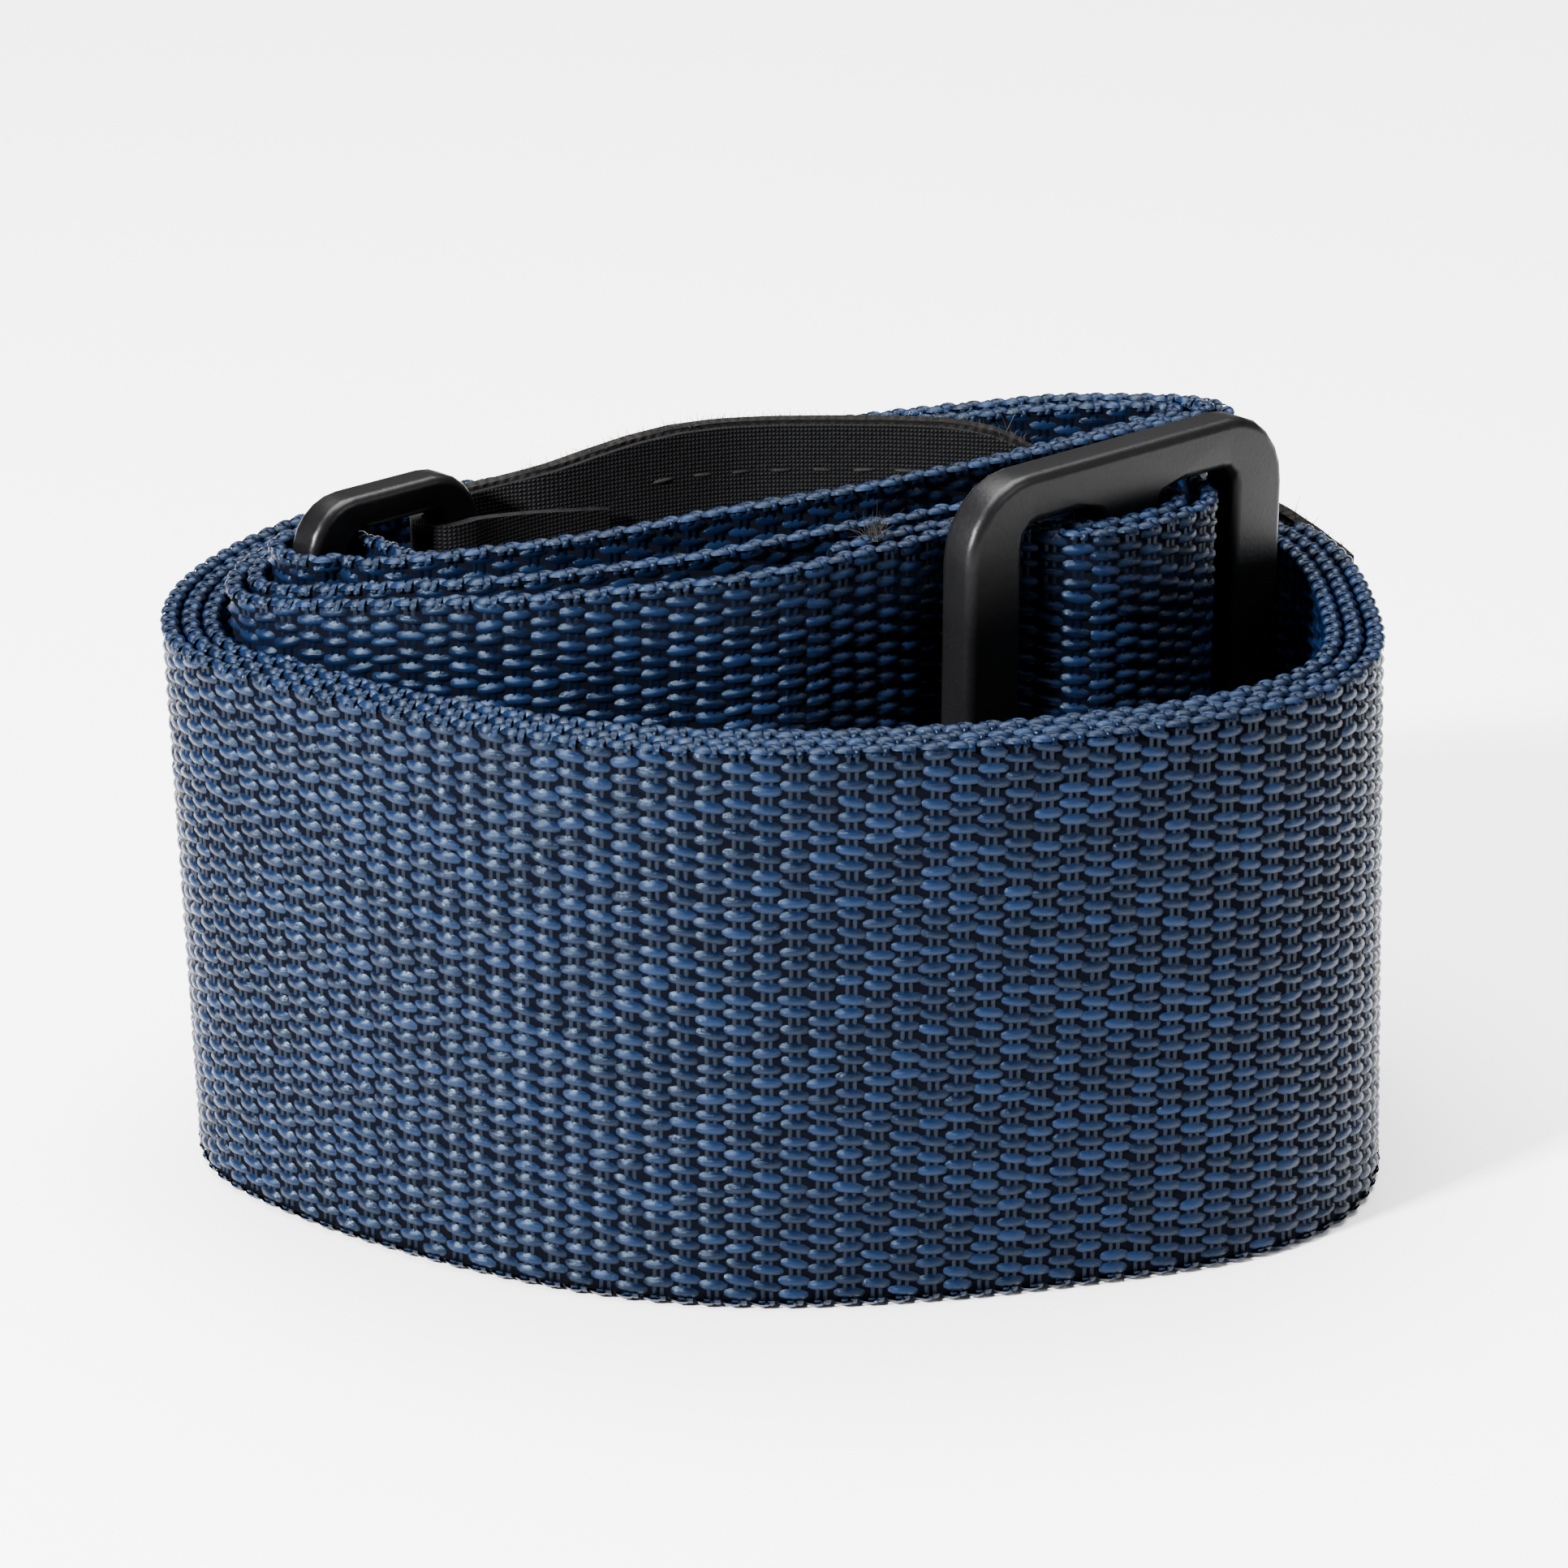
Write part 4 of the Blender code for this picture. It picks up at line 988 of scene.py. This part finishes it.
def make_tack(mats):
    """A bar of thread across the sewn tail, with a frayed tuft at its top."""
    path = smooth(TAIL_AND_LOOP[:4], 0.8)

    def middle(x):
        return TACK_HEIGHT - HALF_WEB

    zs = np.arange(-21.0, 22.3, 1.1)
    places = np.column_stack([4.8 + 0.35 * np.sin(zs * 2.8), zs])
    dirs = np.tile([0.35, 0.94], (len(zs), 1))
    tack = stitches("tail_tack_stitches", path, middle, places, dirs, -WEB_THICK / 2 - 0.05, -1,
                    mats["thread_dark"], 1.9, 0.5)
    rng = np.random.default_rng(31)
    n = 70
    root = on_tab(path, middle, 4.8 + rng.normal(0, 0.5, n), rng.normal(0.0, 0.5, n),
                  24.6 + 0 * rng.random(n))
    ways = rng.normal(0, 0.5, (n, 3)) + np.array([0, 0, 1.0])
    tuft = fibres("tail_tack_tuft", root, ways, mats["fuzz"], 0.7 + 1.1 * rng.random(n), 0.05, 0.8, 32)
    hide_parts("tail_tack")
    for ob in (tack, tuft):
        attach(ob, "roll")
    return [tack, tuft]


# ---------------------------------------------------------------- assembly

def all_materials():
    yarn = yarn_material(
        "webbing_yarn", (0.0004, 0.0012, 0.0045), (0.0009, 0.0029, 0.0105),
        (0.0027, 0.0078, 0.025), 0.2, 0.16, (0.55, 0.76, 1.0))
    # navy weft, darker than the floats' yarn: painted shade where the picks lie between the floats
    shaded_pick = yarn_material(
        "webbing_pick_painted_shade", (0.0002, 0.0006, 0.0022), (0.0006, 0.0017, 0.006),
        (0.002, 0.0055, 0.017), 0.16, 0.12, (0.7, 0.85, 1.0))
    # near-black, much darker than the navy yarn: painted shade for the gaps between the floats
    shade_core = yarn_material(
        "webbing_core_painted_shade", (0.0003, 0.0005, 0.0015), (0.0005, 0.001, 0.003),
        (0.001, 0.002, 0.005), 0.9, 0.03)
    suede = cloth_material(
        "split_leather", (0.0012, 0.0011, 0.0011), (0.007, 0.0065, 0.006), 0.9, 0.95, 0.7, 0.0002)
    lining = cloth_material(
        "lining_cloth", (0.0004, 0.0004, 0.0005), (0.0035, 0.0035, 0.0042), 0.37, 0.6, 0.8, 0.00012)
    thread = yarn_material(
        "edge_thread", (0.0006, 0.0006, 0.0006), (0.002, 0.002, 0.0019),
        (0.009, 0.0085, 0.008), 0.55, 0.12)
    thread_dark = yarn_material(
        "dark_thread", (0.0004, 0.0004, 0.0004), (0.0012, 0.0012, 0.0012),
        (0.004, 0.004, 0.004), 0.5, 0.12)
    fuzz = yarn_material(
        "leather_fibre", (0.003, 0.003, 0.0028), (0.01, 0.009, 0.0085),
        (0.03, 0.028, 0.026), 0.85, 0.1)
    black = (0.0012, 0.0012, 0.0014), (0.003, 0.003, 0.0034)
    slider = moulded_material("slider_plastic", *black, 0.36, 2600.0, 0.00004)
    loop = moulded_material("loop_plastic", *black, 0.33, 1500.0, 0.00006)
    return {"yarn": yarn, "shaded_pick": shaded_pick, "shade_core": shade_core, "suede": suede, "lining": lining,
            "thread": thread, "thread_dark": thread_dark, "fuzz": fuzz, "slider": slider, "loop": loop}


def make_strap(mats):
    """The whole strap, in two pieces cut just before the hinge of its end."""
    cut = "webbing_outer_turn_8"
    s_cut = round(STOPS[cut] / COLUMN) * COLUMN
    main_names = NAMES[:NAMES.index(cut) + 1]
    end_names = NAMES[NAMES.index(cut) + 1:]
    STOPS[cut] = s_cut
    STARTS[end_names[0]] = s_cut
    main, pieces = make_webbing(main_names, "main", 0.1, s_cut - 0.02, mats)
    end, end_pieces = make_webbing(end_names, "end", s_cut + 0.02, ALONG[-1] - 0.1, mats)
    pieces += make_tack(mats)
    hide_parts(*main_names)
    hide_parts(*end_names)
    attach(main, "roll")
    for ob in pieces:
        if ob.parent is None:
            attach(ob, "roll")
    hinge = oval(END_HINGE, 0.75) - np.array(CENTRE)
    ahead = oval(END_HINGE + 2.0, 0.75) - oval(END_HINGE - 2.0, 0.75)
    ahead /= np.linalg.norm(ahead)
    for ob in [end] + end_pieces:
        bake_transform(ob)


def add_light(name, at, aim, size, energy, colour=(1, 1, 1)):
    data = bpy.data.lights.new(name, "AREA")
    data.shape = "RECTANGLE"
    data.size, data.size_y = size
    data.energy = energy
    data.color = colour
    ob = bpy.data.objects.new(name, data)
    ob.location = at
    ob.rotation_euler = (Vector(aim) - Vector(at)).to_track_quat("-Z", "Y").to_euler()
    bpy.context.scene.collection.objects.link(ob)
    return ob


def make_stage():
    mat, _, shader = node_material("floor_white")
    shader.inputs["Base Color"].default_value = (0.86, 0.86, 0.87, 1)
    shader.inputs["Roughness"].default_value = 0.7
    mesh = bpy.data.meshes.new("floor")
    reach, level = 4.0, -0.0002
    corners = [(-reach, -reach, level), (reach, -reach, level), (reach, reach, level), (-reach, reach, level)]
    mesh.from_pydata(corners, [], [(0, 1, 2, 3)])
    mesh.materials.append(mat)
    floor = bpy.data.objects.new("floor", mesh)
    bpy.context.scene.collection.objects.link(floor)
    world = bpy.data.worlds.new("studio")
    world.use_nodes = True
    world.node_tree.nodes["Background"].inputs["Color"].default_value = (1, 1, 1, 1)
    world.node_tree.nodes["Background"].inputs["Strength"].default_value = 0.15
    bpy.context.scene.world = world
    add_light("key", (-0.5, -0.42, 0.42), (0, -0.02, 0.03), (0.09, 0.09), 40.0)
    add_light("fill", (0.55, -0.25, 0.4), (0.02, 0, 0.03), (0.25, 0.25), 2.0)
    add_light("top", (0.0, 0.35, 1.3), (0, 0.3, 0.0), (1.2, 1.2), 110.0)


def make_camera():
    data = bpy.data.cameras.new("photo_camera")
    data.lens = 100.6
    data.sensor_width = 36.0
    data.clip_start, data.clip_end = 0.01, 20.0
    cam = bpy.data.objects.new("photo_camera", data)
    cam.location = ((1.8 - CENTRE[0]) * MM, (-366.7 - CENTRE[1]) * MM, 0.175)
    cam.rotation_euler = (math.radians(90 - 21.6), 0, 0)
    bpy.context.scene.collection.objects.link(cam)
    bpy.context.scene.camera = cam


def paint(node, mat):
    """Gives a moulded piece its plastic, softly rounded edges and even shading."""
    ob = frame["nodes"][node]
    ob.data.materials.clear()
    ob.data.materials.append(mat)
    weld = ob.modifiers.new("weld", "WELD")
    weld.merge_threshold = 1e-5
    soft = ob.modifiers.new("soft", "BEVEL")
    soft.width = 0.0003
    soft.segments = 3
    soft.limit_method = "ANGLE"
    soft.angle_limit = math.radians(40)
    ob.data.shade_smooth()
    even = ob.modifiers.new("even", "WEIGHTED_NORMAL")
    even.weight = 80


mats = all_materials()
make_strap(mats)
make_inner_tab(mats)
make_end_tab(mats)
paint("slider", mats["slider"])
paint("rectangular_loop", mats["loop"])
make_stage()
make_camera()
